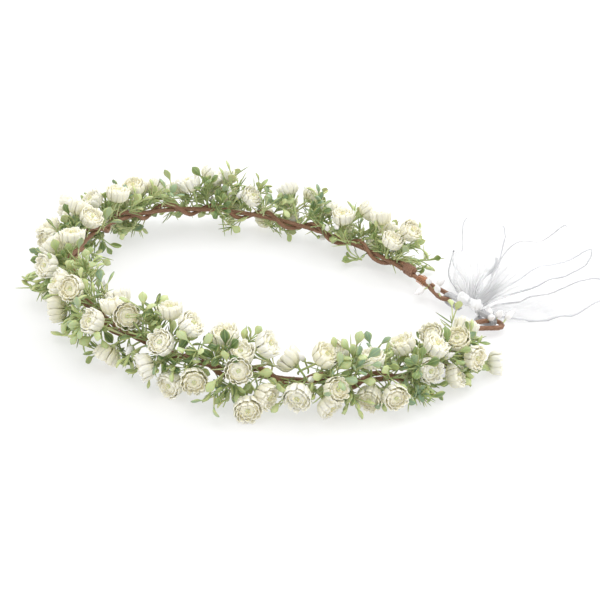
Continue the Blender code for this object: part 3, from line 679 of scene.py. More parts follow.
class Shape:
    """Corners, faces and flat-pattern places of a mesh while it is being made."""

    def __init__(self):
        self.verts = []
        self.faces = []
        self.flat = []
        self.hem = []

    def sheet(self, grid, thickness, flat=None, hem=None):
        """A closed sheet over rows of points, with walls round its edge."""
        grid = np.array(grid)
        rows, columns = grid.shape[:2]
        normal = np.cross(np.gradient(grid, axis=1), np.gradient(grid, axis=0))
        normal /= np.linalg.norm(normal, axis=2, keepdims=True) + 1e-12
        half = normal * (np.broadcast_to(thickness, (rows, columns)) / 2.0)[..., None]
        first = len(self.verts)
        back = rows * columns
        for side in (grid + half, grid - half):
            self.verts += side.reshape(-1, 3).tolist()
            for i in range(rows):
                for j in range(columns):
                    self.flat.append(flat[i][j] if flat else (j / (columns - 1), i / (rows - 1)))
                    self.hem.append(hem[i][j] if hem else 0.0)
        for i in range(rows - 1):
            for j in range(columns - 1):
                a = first + i * columns + j
                ring = (a, a + 1, a + 1 + columns, a + columns)
                self.faces.append(ring)
                self.faces.append(tuple(back + k for k in reversed(ring)))
                for k, at_edge in enumerate((i == 0, j == columns - 2, i == rows - 2, j == 0)):
                    if at_edge:
                        p, q = ring[k], ring[(k + 1) % 4]
                        self.faces.append((q, p, back + p, back + q))

    def rings(self, rings):
        """Faces between rings of equal length, closed at both ends with a fan."""
        sides = len(rings[0])
        first = len(self.verts)
        edges = []
        for i, ring in enumerate(rings):
            self.verts += [tuple(p) for p in ring]
            self.flat += [(k / sides, i / (len(rings) - 1)) for k in range(sides)]
            self.hem += [0.0] * sides
            start = first + i * sides
            edges.append([(start + k, start + (k + 1) % sides) for k in range(sides)])
        for ring in edges[:-1]:
            self.faces += [(a, b, b + sides, a + sides) for a, b in ring]
        for end in (0, -1):
            tip = len(self.verts)
            self.verts.append(tuple(middle_of([Vector(p) for p in rings[end]])))
            self.flat.append((0.5, float(-end)))
            self.hem.append(0.0)
            self.faces += [(a, b, tip) if end else (b, a, tip) for a, b in edges[end]]

    def turned(self, profile, sides, origin=(0.0, 0.0, 0.0), bend=0.0):
        """A turned form: each step of the profile is a radius and a height."""
        x, y, z = origin
        turns = [FULL_TURN * k / sides for k in range(sides)]
        self.rings([
            [
                Vector((x + radius * math.cos(t) + bend * height * height, y + radius * math.sin(t), z + height))
                for t in turns
            ]
            for radius, height in profile
        ])

    def mesh(self, name):
        mesh = bpy.data.meshes.new(name)
        mesh.from_pydata(self.verts, [], self.faces)
        layer = mesh.uv_layers.new(name="UVMap")
        for loop in mesh.loops:
            layer.data[loop.index].uv = self.flat[loop.vertex_index]
        if any(self.hem):
            keep_values(mesh, "hem", self.hem)
        mesh.shade_smooth()
        return mesh


def eased(table, t):
    """A smooth value between the steps of a table at a place from 0 to 1."""
    table = np.array(table, float)
    place = min(max(t, 0.0), 1.0) * (len(table) - 1)
    i = min(int(place), len(table) - 2)
    f = place - i
    before, after = table[max(i - 1, 0)], table[min(i + 2, len(table) - 1)]
    a, b = table[i], table[i + 1]
    slope_a, slope_b = (b - before) / 2.0, (after - a) / 2.0
    h = f * f * (3.0 - 2.0 * f)
    return a * (1.0 - h) + b * h + f * (1.0 - f) * ((1.0 - f) * slope_a - f * slope_b) * 0.8


def petal(shape, rng, whorl, half_angle, turn, ruffle):
    """One petal of a whorl: narrow foot, rounded and scalloped tip, overlapping the next one."""
    rows, columns = 7, 9
    tilt = rng.uniform(-0.05, 0.05)
    phase = rng.uniform(0.0, FULL_TURN)
    rise = rng.uniform(0.88, 1.06)
    grid = []
    for i in range(rows):
        row = []
        for j in range(columns):
            u = 2.0 * j / (columns - 1) - 1.0
            tip = 1.0 - 0.24 * abs(u) ** 3.2 + 0.02 * math.cos(3.0 * math.pi * u + phase)
            v = i / (rows - 1) * tip
            reach, height = eased(whorl, v)
            height *= 1.0 + v * (rise - 1.0)
            widening = 0.42 + 0.58 * math.sin(min(v / 0.7, 1.0) * math.pi / 2.0)
            angle = turn + math.radians(half_angle) * u * widening
            wave = ruffle * v ** 3 * math.sin(3.0 * math.pi * u + phase)
            reach += wave + 0.05 * u * v + tilt * v * v - 0.15 * u * u * v
            height += 0.6 * wave
            row.append((
                reach * BLOSSOM_RADIUS * math.cos(angle),
                reach * BLOSSOM_RADIUS * math.sin(angle),
                height * BLOSSOM_HEIGHT,
            ))
        grid.append(row)
    shape.sheet(grid, PETAL_THICKNESS)


def blossom_petals(shape, rng):
    shape.turned([(reach * BLOSSOM_RADIUS, height * BLOSSOM_HEIGHT) for reach, height in CORE_PROFILE], 14)
    for (count, half_angle, offset), whorl in zip(PETALS, (OUTER_WHORL, MIDDLE_WHORL, INNER_WHORL)):
        for i in range(count):
            turn = FULL_TURN * (i + offset + rng.uniform(-0.08, 0.08)) / count
            petal(shape, rng, whorl, half_angle, turn, rng.uniform(0.01, 0.04))


def blossom_heart(shape, rng):
    """A low mound with a ring of club-ended threads."""
    shape.turned(HEART_PROFILE, 10, (0.0, 0.0, HEART_FOOT))
    for i in range(THREADS):
        turn = FULL_TURN * i / THREADS
        reach = rng.uniform(0.0007, 0.0011)
        place = (reach * math.cos(turn), reach * math.sin(turn), HEART_FOOT + 0.0006)
        tall = rng.uniform(0.0014, 0.0022)
        shape.turned(((0.00012, 0.0), (0.00010, 0.7 * tall), (0.00020, 0.85 * tall), (0.00012, tall)), 5, place)


def blossom_calyx(shape, rng):
    """A green cup with pointed sepals that lean out."""
    shape.turned(CALYX_PROFILE, 12)
    for i in range(SEPALS):
        turn = FULL_TURN * (i + rng.uniform(-0.1, 0.1)) / SEPALS
        grid = []
        for v in (0.0, 0.25, 0.5, 0.75, 1.0):
            reach = 0.0012 + 0.0017 * v ** 1.3
            wide = 0.00062 * (1.0 - v) ** 0.6 + 0.00005
            droop = 0.0005 * v * v * rng.uniform(0.6, 1.4)
            height = CALYX_FOOT + (CALYX_HEIGHT - CALYX_FOOT) * v - droop
            row = []
            for u in (-1.0, 0.0, 1.0):
                x, y = reach - 0.0002 * u * u, wide * u
                row.append((
                    x * math.cos(turn) - y * math.sin(turn), x * math.sin(turn) + y * math.cos(turn), height
                ))
            grid.append(row)
        shape.sheet(grid, SEPAL_THICKNESS)


def leaf_half_width(v):
    """Narrow foot, widest at the shoulder, round tip, as a share of the greatest half width."""
    if v < LEAF_SHOULDER:
        rise = v / LEAF_SHOULDER
        return 0.13 + 0.87 * rise * rise * (3.0 - 2.0 * rise)
    over = (v - LEAF_SHOULDER) / (1.0 - LEAF_SHOULDER)
    return max(math.sqrt(max(1.0 - over * over, 0.0)), 0.10)


def leaf_blade(shape, rng):
    """A thick moulded paddle: tapered foot, round tip, hollowed across and bent along its length."""
    bend = rng.uniform(-0.10, 0.24)
    cup = rng.uniform(0.08, 0.28)
    lean = rng.uniform(-0.12, 0.12)
    rows, columns = 12, 7
    grid, thick = [], []
    for i in range(rows):
        v = 1.0 - (1.0 - i / (rows - 1)) ** 1.45
        half = leaf_half_width(v) * LEAF_WIDTH / 2.0
        plump = 0.35 + 0.65 * math.sin(math.pi * min(v, 0.97) ** 1.4)
        row, depth = [], []
        for j in range(columns):
            u = 2.0 * j / (columns - 1) - 1.0
            row.append((
                half * u + lean * LEAF_LENGTH * v * v,
                bend * LEAF_LENGTH * v * v + cup * half * (u * u - 1.0),
                LEAF_LENGTH * v * (1.0 - 0.07 * u * u * v),
            ))
            depth.append(LEAF_THICKNESS * (1.0 - 0.72 * u * u) * plump)
        grid.append(row)
        thick.append(depth)
    shape.sheet(grid, np.array(thick))


def needle(shape, rng):
    long = rng.uniform(*NEEDLE_LENGTHS)
    steps = ((0.00016, 0.0), (0.00027, 0.15), (0.00030, 0.5), (0.00020, 0.85), (0.00006, 1.0))
    shape.turned([(r, h * long) for r, h in steps], 6, bend=rng.uniform(-22.0, 22.0))


def bud_body(shape, rng):
    """A rice-shaped bud of unit length."""
    places = [i / 9.0 for i in range(10)]
    steps = [(max(0.26 * math.sin(math.pi * t ** 0.85), 0.03), 1.12 * t) for t in places]
    shape.turned(steps, 12, bend=rng.uniform(-0.16, 0.16))


def bud_cup(shape, rng):
    wide = rng.uniform(0.17, 0.20)
    shape.turned(((0.07, -0.05), (0.12, 0.0), (wide, 0.08), (wide + 0.01, 0.16), (0.10, 0.20)), 10)


def shelf(name, maker, count):
    """A hidden set of shapes for scattering, in a set order."""
    shapes = bpy.data.collections.new(name)
    for seed in range(count):
        shape = Shape()
        maker(shape, random.Random(seed))
        shapes.objects.link(bpy.data.objects.new(f"{name} {seed:02d}", shape.mesh(name)))
    return shapes


# ---- pieces


def frame_body(node):
    return "bow" if node in BOW_NODES else "crown"


def hand_over(piece, node):
    """Puts a piece under its node's body and hides the node's own solid; what would sink into the table bends onto
    it.
    """
    for vertex in piece.data.vertices:
        if vertex.co.z < TABLE_GAP:
            vertex.co.z = TABLE_GAP * 0.5 + 0.02 * (vertex.co.z - TABLE_GAP)
    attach(piece, frame_body(node))
    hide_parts(node)


def stemmed(name, lines, material, sides=7):
    return grown(name, line_mesh(name, lines), STEMS, material, Sides=sides)


def mould(node, slot, stems, sides, *scatters):
    """One piece for a sprig: shapes scattered on their places, and the stems, joined."""
    name = f"{node}_mould"
    parts = [
        grown(name, point_cloud(name, places), SCATTER, material, Shapes=shapes)
        for places, shapes, material in scatters if places
    ]
    parts.append(stemmed(name, stems, STEM, sides))
    with bpy.context.temp_override(active_object=parts[0], selected_editable_objects=parts):
        bpy.ops.object.join()
    parts[0].name = name
    parts[0].data.name = name
    hand_over(parts[0], node)


# ---- sprigs


class Space:
    """Keeps added greens out of the blossoms, off the strands and above the table."""

    def __init__(self, blossoms, strands):
        self.cups = np.array([tuple(start + axis * BLOSSOM_HEIGHT * 0.62) for start, axis, _, _ in blossoms])
        self.strands = np.array([tuple(p) for p in strands])

    def free(self, points, room=LEAF_ROOM):
        for point in points:
            if point.z < TABLE_ROOM:
                return False
            if np.min(np.linalg.norm(self.cups - np.array(point), axis=1)) < room:
                return False
        return True

    def off_strands(self, point, room):
        return np.min(np.linalg.norm(self.strands - np.array(point), axis=1)) > room


def tilted(axis, turn, tilt):
    """A direction leaning off an axis by a tilt in degrees, toward a turn round it."""
    side = axis.orthogonal().normalized()
    out = side * math.cos(turn) + axis.cross(side) * math.sin(turn)
    tilt = math.radians(tilt)
    return (axis * math.cos(tilt) + out * math.sin(tilt)).normalized()


def stem_radii(count, thin, thick):
    return [thin + (thick - thin) * (i / (count - 1)) ** 2 for i in range(count)]


def random_side(rng):
    return Vector((rng.uniform(-1, 1), rng.uniform(-1, 1), rng.uniform(-1, 1)))


def outward(point):
    """Level direction from the middle of the hoop to a point."""
    return Vector((point.x, point.y, 0.0)).normalized()


def twist_run(i):
    return (HOOP[i + 1] - HOOP[i - 1]).normalized()


class Greens:
    """What grows on one leaf sprig: paddles, needles, end buds and stems."""

    def __init__(self, rng, space):
        self.rng = rng
        self.space = space
        self.blades, self.needles, self.buds, self.stems = [], [], [], []

    def add_stem(self, line, foot, tip, tint):
        """A stem that thins quickly from its foot."""
        self.stems.append((line, stem_radii(len(line), STEM_RADIUS * tip, STEM_RADIUS * foot)[::-1], tint))

    def spray(self, start, axis, tint, count):
        """A whorl of paddles on short stems, with fine needles below it."""
        rng = self.rng
        first = rng.uniform(0.0, FULL_TURN)
        for i in range(count):
            turn = first + FULL_TURN * i / count + rng.uniform(-0.3, 0.3)
            heading = tilted(axis, turn, rng.uniform(32.0, 62.0))
            foot = start - axis * rng.uniform(0.0, 0.0042)
            twig = rng.uniform(*TWIG_LENGTHS)
            base = foot + (heading + axis * 0.4).normalized() * twig
            scale = rng.uniform(0.66, 1.0)
            tip = base + heading * LEAF_LENGTH * scale
            clear = self.space.free((base, (base + tip) / 2.0, tip))
            if not clear or not self.space.off_strands(tip, LEAF_OFF_STRAND):
                continue
            line = [foot, (foot + base) / 2.0 + axis * 0.0002, base]
            self.stems.append((line, [STEM_RADIUS * share for share in (0.8, 0.7, 0.75)], tint * 0.7 + 0.2))
            place = frame_of(base - heading * 0.0002, heading, heading.cross(axis))
            self.blades.append((place, (1.15 * scale, 1.2 * scale, scale), tint + rng.uniform(-0.08, 0.08)))
        for i in range(rng.randint(4, 6)):
            heading = tilted(axis, rng.uniform(0.0, FULL_TURN), rng.uniform(25.0, 75.0))
            foot = start - axis * rng.uniform(0.001, 0.0048)
            scale = rng.uniform(0.75, 1.15)
            tip = foot + heading * NEEDLE_REACH * scale
            clear = self.space.free((foot + heading * 0.003, tip))
            if clear and self.space.off_strands(tip, NEEDLE_OFF_STRAND):
                self.needles.append((frame_of(foot, heading), (scale,) * 3, rng.uniform(0.0, 0.8)))

    def side_shoot(self, foot, heading, tint):
        """A shoot from the twist: needles in pairs along it and paddles at its tip."""
        rng = self.rng
        long = rng.uniform(*SHOOT_LENGTHS)
        curl = Vector((rng.uniform(-1, 1), rng.uniform(-1, 1), rng.uniform(-0.9, 0.5))) * 0.25

        def along(t):
            return foot + heading * (long * t) + curl * (long * t * t)

        line = [along(t) for t in (0.0, 0.25, 0.5, 0.75, 1.0)]
        if not self.space.free(line[1:], SHOOT_ROOM):
            return False
        self.add_stem(smooth_line(line, 2), 0.9, 0.55, tint * 0.7 + 0.1)
        for k, t in enumerate((0.35, 0.6, 0.85)):
            base = along(t)
            way = (heading + curl * 2.0 * t).normalized()
            for side in range(2):
                turn = rng.uniform(-0.5, 0.5) + math.pi * side + 1.2 * k
                lead = tilted(way, turn, rng.uniform(28.0, 50.0))
                scale = rng.uniform(0.55, 0.95)
                tip = base + lead * NEEDLE_REACH * scale
                if self.space.free((base + lead * 0.003, tip), SHOOT_NEEDLE_ROOM):
                    sizes = (scale * 1.25, scale * 1.25, scale)
                    self.needles.append((frame_of(base, lead), sizes, rng.uniform(0.0, 0.8)))
        self.spray(line[-1], (line[-1] - line[-2]).normalized(), tint, rng.randint(2, 4))
        return True

    def droop(self, i):
        """A long stem that arches outward and down from the twist, with club-shaped tips."""
        rng = self.rng
        lean = Vector((rng.uniform(-0.5, 0.5), rng.uniform(-0.5, 0.5), rng.uniform(0.0, 0.7)))
        way = (outward(HOOP[i]) + lean).normalized()
        long = rng.uniform(*DROOP_LENGTHS)

        def along(t):
            return HOOP[i] + way * (long * t) + Vector((0.0, 0.0, -0.55 * long * t * t))

        line = [along(t) for t in (0.1, 0.35, 0.6, 0.8, 1.0)]
        if not self.space.free(line[1:], DROOP_ROOM):
            return False
        tint = rng.uniform(0.55, 0.8)
        self.add_stem(smooth_line(line, 3), 1.2, 0.7, 0.75)
        for t in (0.45, 0.65, 0.85, 1.0):
            base = along(t)
            lead = tilted((line[-1] - line[-2]).normalized(), rng.uniform(0.0, 6.3), rng.uniform(8.0, 40.0))
            scale = rng.uniform(0.62, 0.9)
            ahead = (base + lead * 0.004 * scale, base + lead * LEAF_LENGTH * scale)
            if self.space.free(ahead, DROOP_ROOM):
                sizes = (0.8 * scale, 1.6 * scale, scale)
                self.blades.append((frame_of(base, lead), sizes, tint + rng.uniform(-0.1, 0.1)))
        return True

    def fill_out(self, starts):
        """Long stems and side shoots between a sprig's own leaves, leaning along the twist and out from it."""
        rng = self.rng
        near = [min(range(len(HOOP)), key=lambda i: (HOOP[i] - start).length_squared) for start in starts]
        first, last = max(min(near), 2), min(max(near), len(HOOP) - 3)
        hanging = 0
        for _ in range(30):
            hanging += self.droop(rng.randint(first, last))
            if hanging == DROOPS:
                break
        shoots = 0
        for _ in range(SIDE_SHOOTS * 6):
            i = rng.randint(first, last)
            run = twist_run(i) * rng.choice((-1.0, 1.0))
            out = tilted(run, rng.uniform(0.0, FULL_TURN), rng.uniform(35.0, 78.0))
            if out.z < -0.7 or out.dot(outward(HOOP[i])) < INWARD_LIMIT:
                continue
            tint = rng.choice((0.25, 0.5, 0.65, 0.95)) + rng.uniform(-0.1, 0.1)
            shoots += self.side_shoot(HOOP[i] + out * 0.0012, out, tint)
            if shoots == SIDE_SHOOTS:
                return

    def grow_end_buds(self, at):
        """White buds on short stems beside an end of the twist."""
        rng = self.rng
        for _ in range(60):
            i = at + rng.randint(-5, 5)
            away = tilted(twist_run(i), rng.uniform(0.0, 6.3), rng.uniform(60.0, 110.0))
            if away.z < -0.2:
                continue
            base = HOOP[i] + away * rng.uniform(0.0024, 0.0036)
            length = rng.uniform(*END_BUD_LENGTHS)
            apart = all((base - other.translation).length > END_BUD_SPACING for other, _, _ in self.buds)
            clear = apart and self.space.free((base, base + away * length), END_BUD_ROOM)
            if clear and self.space.off_strands(base + away * 0.0016, BUD_OFF_STRAND):
                bend = (HOOP[i] + base) / 2.0 + away * 0.0005
                self.stems.append(([HOOP[i] + away * 0.001, bend, base + away * 0.0003], [STEM_RADIUS] * 3, 0.8))
                self.buds.append((frame_of(base, away), (length,) * 3, rng.random()))
            if len(self.buds) == END_BUDS:
                break


def dress_blossoms(node, rng):
    heads, cups, stems = [], [], []
    for start, axis, size, stem in read_blossoms(node):
        tint = rng.random()
        place = frame_of(start, axis, random_side(rng))
        scale = (size * rng.uniform(0.95, 1.05),) * 2 + (size * rng.uniform(0.92, 1.03),)
        heads.append((place, scale, tint))
        cups.append((place, (size,) * 3, rng.uniform(0.35, 0.9)))
        line = smooth_line(stem)
        stems.append((line, stem_radii(len(line), STEM_RADIUS, STEM_HEAD_RADIUS), rng.uniform(0.3, 0.9)))
    shapes = ((heads, PETAL_SHAPES, PETAL), (heads, HEART_SHAPES, HEART), (cups, CALYX_SHAPES, STEM))
    mould(node, "petal", stems, 7, *shapes)


def dress_leaves(node, rng, space):
    greens = Greens(rng, space)
    ends = {"leaf_sprig_01": END_BUD_PLACE, "leaf_sprig_14": len(HOOP) - END_BUD_PLACE}
    if node in ends:
        greens.grow_end_buds(ends[node])
    leaves = read_leaves(node)
    for start, axis, side, stem in leaves:
        tint = rng.choice((0.05, 0.3, 0.5, 0.7, 0.95)) + rng.uniform(-0.1, 0.1)
        greens.blades.append((frame_of(start, axis, side), (rng.uniform(0.95, 1.05),) * 3, tint))
        line = smooth_line(stem)
        radii = stem_radii(len(line), STEM_RADIUS, STEM_RADIUS * 0.8)
        greens.stems.append((line, radii, tint * 0.7 + 0.2))
        greens.spray(start, axis, tint, rng.randint(4, 5))
    greens.fill_out([stem[0] for _, _, _, stem in leaves])
    shapes = (
        (greens.blades, LEAF_SHAPES, LEAF),
        (greens.buds, BUD_SHAPES, BUD),
        (greens.needles, NEEDLE_SHAPES, STEM),
    )
    mould(node, "leaf", greens.stems, 6, *shapes)


def dress_buds(node, rng):
    bodies, cups, stems = [], [], []
    for start, axis, length, stem in read_buds(node):
        place = frame_of(start, axis, random_side(rng))
        bodies.append((place, (length,) * 3, rng.random()))
        cups.append((place, (length,) * 3, rng.uniform(0.4, 1.0)))
        line = smooth_line(stem)
        stems.append((line, [STEM_RADIUS] * len(line), rng.uniform(0.4, 1.0)))
    mould(node, "bud", stems, 7, (bodies, BUD_SHAPES, BUD), (cups, CUP_SHAPES, STEM))


# ---- strands, tapes and wraps


def dress_strand(name, wire_node, paper_node, seed):
    """Creased paper along a wire's middle line, which it hands back."""
    line = smooth_line(Solid(wire_node).centre_line(), 6)
    source = line_mesh(name, [(line, [1.0] * len(line), 0.0)])
    hand_over(grown(name, source, STRAND_TREE, STRAND, Seed=seed), paper_node)
    return line


def dress_wrap(node):
    line = smooth_line(Solid(node).centre_line(), 3)
    piece = stemmed(f"{node}_coil", [(line, [WRAP_RADIUS] * len(line), 0.0)], WRAP, 8)
    hand_over(piece, node)


def dress_tape(node, hoop):
    """Paper tape wound round both strands: each turn stands a little over the last."""
    points = Solid(node).points
    centre = middle_of(points)
    nearest = min(range(1, len(hoop) - 1), key=lambda i: (hoop[i] - centre).length)
    run = (hoop[nearest + 1] - hoop[nearest - 1]).normalized()
    flat = [p - centre - run * (p - centre).dot(run) for p in points]
    rise = max(flat, key=lambda d: d.length)
    rise = (rise - run * rise.dot(run)).normalized()
    across = run.cross(rise)
    radius = max(abs(d.dot(across)) for d in flat)
    half = max(abs(d.dot(rise)) for d in flat) - radius
    length = max(abs((p - centre).dot(run)) for p in points)
    rings = []
    for i in range(TAPE_STEPS + 1):
        along = (i / TAPE_STEPS * 2.0 - 1.0) * length
        ends = min(1.0, (length - abs(along)) / 0.0005)
        row = []
        for k in range(TAPE_SIDES):
            turn = FULL_TURN * k / TAPE_SIDES
            cosine, sine = math.cos(turn), math.sin(turn)
            lap = (along / TAPE_PITCH + k / TAPE_SIDES) % 1.0
            crumple = noise.noise(Vector((along * 900.0, cosine * 2.0, sine * 2.0)))
            swell = radius - TAPE_INSET + TAPE_LAP * lap ** 0.6 + TAPE_CRUMPLE * crumple
            swell -= TAPE_END_DROP * (1.0 - ends)
            lift = half * math.copysign(min(abs(cosine) * 4.0, 1.0), cosine)
            row.append(centre + run * along + rise * (lift + swell * cosine) + across * swell * sine)
        rings.append(row)
    shape = Shape()
    shape.rings(rings)
    hand_over(add_object(f"{node}_wound", shape.mesh(node), TAPE), node)


# ---- ribbon


def ribbon_sections(node, width):
    """Left and right edge points of a strip's sections, in order along it."""
    solid = Solid(node)
    points = solid.points
    pairs = {}
    for i, near in enumerate(solid.near):
        j = min(near, key=lambda k: (points[k] - points[i]).length)
        pairs[(min(i, j), max(i, j))] = (points[i] + points[j]) / 2.0
    mids = list(pairs.items())
    spans = [
        (b - a).normalized()
        for k, (_, a) in enumerate(mids)
        for _, b in mids[k + 1:]
        if abs((b - a).length - width) < 0.01 * width
    ]
    side = max(spans, key=lambda s: sum(abs(s.dot(o)) > 0.99999 for o in spans))
    sections, owner = [], {}
    for corners, a in mids:
        if corners[0] in owner:
            continue
        others = [(c, b) for c, b in mids if c != corners and c[0] not in owner]
        partner, b = max(others, key=lambda item: abs((item[1] - a).normalized().dot(side)))
        for corner in (*corners, *partner):
            owner[corner] = len(sections)
        sections.append((a, b) if (b - a).dot(side) > 0.0 else (b, a))
    links = [{owner[j] for i in owner if owner[i] == k for j in solid.near[i]} - {k} for k in range(len(sections))]
    order = [min(range(len(links)), key=lambda k: len(links[k]))]
    while len(order) < len(sections):
        order.append(next(k for k in links[order[-1]] if k not in order))
    return [sections[k] for k in order]


def rippled(x, y, z):
    return noise.noise(Vector((x, y, z)))


def across_steps(count):
    """Places across the cloth from 0 to 1, closer together in the hems."""
    inner = [HEM + (1.0 - 2.0 * HEM) * j / count for j in range(count + 1)]
    return [0.0, HEM * 0.8, *inner, 1.0 - HEM * 0.8, 1.0]


def cloth_row(left, right, tangent, run, shifts):
    """One row across the cloth: its points, and where it is how dense and how thick."""
    side = right - left
    normal = side.normalized().cross(tangent)
    share = RIBBON_WIDTH / side.length
    steep = math.pi / 2.0 * math.sqrt(max(share * share - 1.0, 0.0))
    depth = min(side.length * steep / (FULL_TURN * PLEATS), PLEAT_LIMIT)
    ease = PLEAT_EASE + EASE_CHANGE * math.sin(run * 160.0 + shifts[2])
    points, dense, thick = [], [], []
    for u in across_steps(PLEAT_COLUMNS):
        toward_edge = (2.0 * u - 1.0) ** 2
        wander = rippled(u * 1.7 + shifts[0], run * 22.0, shifts[1])
        pleat = math.sin(FULL_TURN * (PLEATS * u + 0.55 * wander) + shifts[0])
        broad = BROAD_FOLD * (1.0 / share) * rippled(u * 2.0 + shifts[1], run * 45.0, 3.0)
        sway = tangent * toward_edge * EDGE_SWAY * rippled(run * 60.0, u, shifts[0])
        swell = 2.2 * EDGE_WAVE / share * toward_edge * rippled(run * 75.0, 1.2 * u, shifts[2])
        inward = (0.5 - u) * (0.08 + 0.22 * rippled(run * 42.0, 1.5 * u, shifts[0]))
        fold = (depth + ease) * pleat + broad
        points.append(left + side * (u + inward) + normal * (fold + swell) + sway)
        in_hem = u < HEM or u > 1.0 - HEM
        dense.append(0.5 + 0.5 * min(1.0, (1.7 / share) ** 2) if in_hem else 0.5 * min((share - 1.0) / 4.0, 1.0))
        thick.append(HEM_THICKNESS if in_hem else CLOTH_THICKNESS)
    return points, dense, thick


def dress_ribbon(node, width, held, seed, steps=14, lift=0.0):
    """A gathered strip: the cloth that the gathers take up stands in pleats that open outward."""
    rng = random.Random(seed)
    sections = ribbon_sections(node, width)
    lefts = smooth_line([a for a, _ in sections], steps)
    rights = smooth_line([b for _, b in sections], steps)
    shifts = [rng.uniform(0.0, 6.0) for _ in range(3)]
    rows, flat = [], []
    run = 0.0
    for i, (left, right) in enumerate(zip(lefts, rights)):
        if i:
            run += ((left + right) / 2.0 - (lefts[i - 1] + rights[i - 1]) / 2.0).length
        before, after = max(i - 1, 0), min(i + 1, len(lefts) - 1)
        tangent = (lefts[after] + rights[after] - lefts[before] - rights[before]).normalized()
        rows.append(cloth_row(left, right, tangent, run, shifts))
        flat.append([(u * RIBBON_WIDTH, run) for u in across_steps(PLEAT_COLUMNS)])
    grid, dense, thick = zip(*rows)
    knot = middle_of(Solid("ribbon_knot").points)
    farthest = max((point - knot).length for row in grid for point in row)
    for row in grid:
        for point in row:
            point.z = max(point.z + lift * ((point - knot).length / farthest) ** 1.5, TABLE_GAP)
    shape = Shape()
    shape.sheet([[tuple(p) for p in row] for row in grid], np.array(thick), flat, dense)
    piece = add_object(f"{node}_cloth", shape.mesh(node), KNOT if held == "gathered" else ORGANZA)
    hand_over(piece, node)


def dress_knot():
    """The band that closes the bow: two crossing laps of ribbon pulled into close pleats."""
    points = Solid("ribbon_knot").points
    centre = middle_of(points)
    left, right = (middle_of(Solid(f"ribbon_tie_{side}").points) for side in ("left", "right"))
    line = (left - right).normalized()
    across = line.orthogonal().normalized()
    half = KNOT_STRETCH * max(abs((p - centre).dot(line)) for p in points)
    radius = max(abs((p - centre).dot(across)) for p in points)
    shape = Shape()
    for lean, share in ((0.45, 0.80), (-0.40, 0.72)):
        axis = (line + across * lean).normalized()
        first = axis.orthogonal().normalized()
        second = axis.cross(first)
        rings = []
        for i in range(1, 2 * KNOT_STEPS):
            t = i / KNOT_STEPS - 1.0
            waist = 0.62 + 0.38 * t * t
            row = []
            for k in range(KNOT_SIDES):
                turn = FULL_TURN * k / KNOT_SIDES
                cosine, sine = math.cos(turn), math.sin(turn)
                wobble = rippled(t * 1.5 + lean, cosine, sine)
                lengthwise = math.sin(9.0 * turn + 2.2 * t + 5.0 * wobble)
                pleat = lengthwise * 0.5 + math.sin(5.0 * math.pi * t + 2.0 * cosine) * 0.5
                reach = radius * share * waist * (1.0 - t ** 8) ** 0.5 * (1.0 + 0.10 * pleat + 0.25 * wobble)
                row.append(centre + axis * (half * t) + (first * cosine + second * sine * 0.85) * reach)
            rings.append(row)
        shape.rings(rings)
    hand_over(add_object("ribbon_knot_band", shape.mesh("ribbon_knot"), KNOT), "ribbon_knot")


# ---- camera, table and light


def place_camera():
    flat = math.cos(VIEW_ELEVATION)
    back = Vector((math.sin(VIEW_AZIMUTH) * flat, -math.cos(VIEW_AZIMUTH) * flat, math.sin(VIEW_ELEVATION)))
    right = (-back).cross(Vector((0.0, 0.0, 1.0))).normalized()
    up = right.cross(-back)
    turned = right * math.cos(VIEW_ROLL) + up * math.sin(VIEW_ROLL)
    raised = up * math.cos(VIEW_ROLL) - right * math.sin(VIEW_ROLL)
    camera = add_object("camera", bpy.data.cameras.new("camera"))
    camera.data.lens = LENS_MM
    camera.data.sensor_width = SENSOR_MM
    camera.data.clip_start = 0.01
    place = Matrix((turned, raised, back)).transposed().to_4x4()
    place.translation = VIEW_TARGET + back * VIEW_DISTANCE + turned * VIEW_SLIDE[0] + raised * VIEW_SLIDE[1]
    camera.matrix_world = place
    bpy.context.scene.camera = camera


def soft_light(name, place, diameter, watts):
    """A round light that faces the middle of the table."""
    light = add_object(name, bpy.data.lights.new(name, "AREA"))
    light.data.shape = "DISK"
    light.data.size = diameter
    light.data.energy = watts
    light.location = place
    light.rotation_euler = (-Vector(place)).to_track_quat("-Z", "Y").to_euler()


def lay_table():
    corners = [(x * TABLE_HALF, y * TABLE_HALF, 0.0) for x, y in ((-1, -1), (1, -1), (1, 1), (-1, 1))]
    mesh = bpy.data.meshes.new("table")
    mesh.from_pydata(corners, [], [(0, 1, 2, 3)])
    add_object("table", mesh, table_white())


def light_room():
    world = bpy.data.worlds.new("room")
    world.use_nodes = True
    sky = world.node_tree.nodes["Background"]
    sky.inputs["Color"].default_value = (1.0, 1.0, 1.0, 1.0)
    sky.inputs["Strength"].default_value = SKY_LEVEL
    bpy.context.scene.world = world
    bpy.context.scene.view_settings.view_transform = "Standard"
    soft_light("window", *WINDOW)
    soft_light("overhead", *OVERHEAD)


# ---- making


def nodes_named(start):
    return sorted(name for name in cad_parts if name.startswith(start))


place_camera()
lay_table()
light_room()

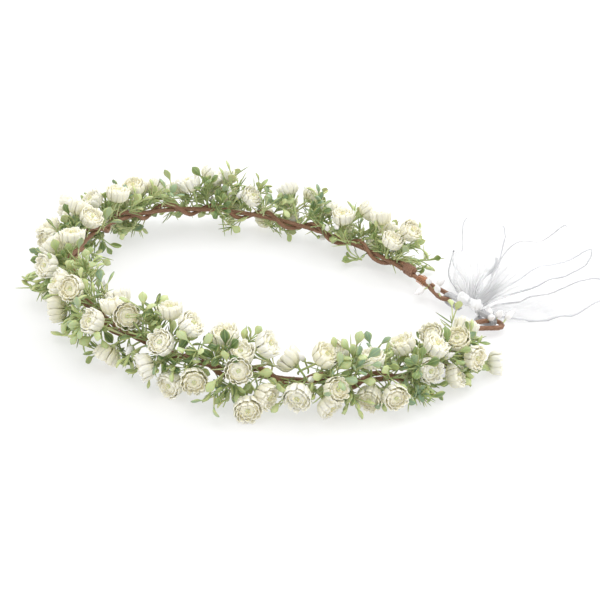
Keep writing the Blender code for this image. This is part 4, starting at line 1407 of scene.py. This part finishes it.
PETAL, HEART, LEAF, STEM, BUD = petal_plastic(), heart_plastic(), leaf_plastic(), stem_plastic(), bud_plastic()
STRAND, WRAP, CORE, TAPE = strand_paper(), wrap_wire(), core_steel(), end_tape()
ORGANZA, KNOT = organza("organza", 0.08, 0.24), organza("organza_knot", 0.35, 0.70)
SCATTER, STEMS, STRAND_TREE = scatter_tree(), stem_tree(), strand_tree()

PETAL_SHAPES = shelf("petals", blossom_petals, 5)
HEART_SHAPES = shelf("hearts", blossom_heart, 2)
CALYX_SHAPES = shelf("calyxes", blossom_calyx, 3)
LEAF_SHAPES = shelf("blades", leaf_blade, 7)
NEEDLE_SHAPES = shelf("needles", needle, 5)
BUD_SHAPES = shelf("buds", bud_body, 4)
CUP_SHAPES = shelf("cups", bud_cup, 2)

for wire in ("hoop_wire", "vine_wire"):
    for material_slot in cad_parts[wire].material_slots:
        material_slot.material = CORE
hoop_line = dress_strand("hoop_strand", "hoop_wire", "hoop_paper_wrap", 1.0)
wound_line = dress_strand("wound_strand", "vine_wire", "vine_paper_wrap", 2.0)
for side in ("left", "right"):
    dress_wrap(f"{side}_eyelet_wrap")
for side in ("left", "right"):
    dress_tape(f"{side}_end_tape", hoop_line)

HOOP = hoop_line[::3]
all_blossoms = [blossom for name in nodes_named("blossom_sprig") for blossom in read_blossoms(name)]
sprig_space = Space(all_blossoms, hoop_line[::4] + wound_line[::4])
sprig_rng = random.Random(SPRIG_SEED)
for name in nodes_named("blossom_sprig"):
    dress_blossoms(name, sprig_rng)
for name in nodes_named("leaf_sprig"):
    dress_leaves(name, sprig_rng, sprig_space)
for name in nodes_named("bud_sprig"):
    dress_buds(name, sprig_rng)

dress_knot()
for number, side in enumerate(("left", "right")):
    loop, tail, tie = (f"ribbon_{part}_{side}" for part in ("loop", "tail", "tie"))
    dress_ribbon(loop, RIBBON_WIDTH, "folded", 10 + number, lift=LOOP_LIFTS[side])
    dress_ribbon(tail, RIBBON_WIDTH, "laid", 20 + number)
    dress_ribbon(tie, TIE_WIDTH, "gathered", 30 + number, 6)
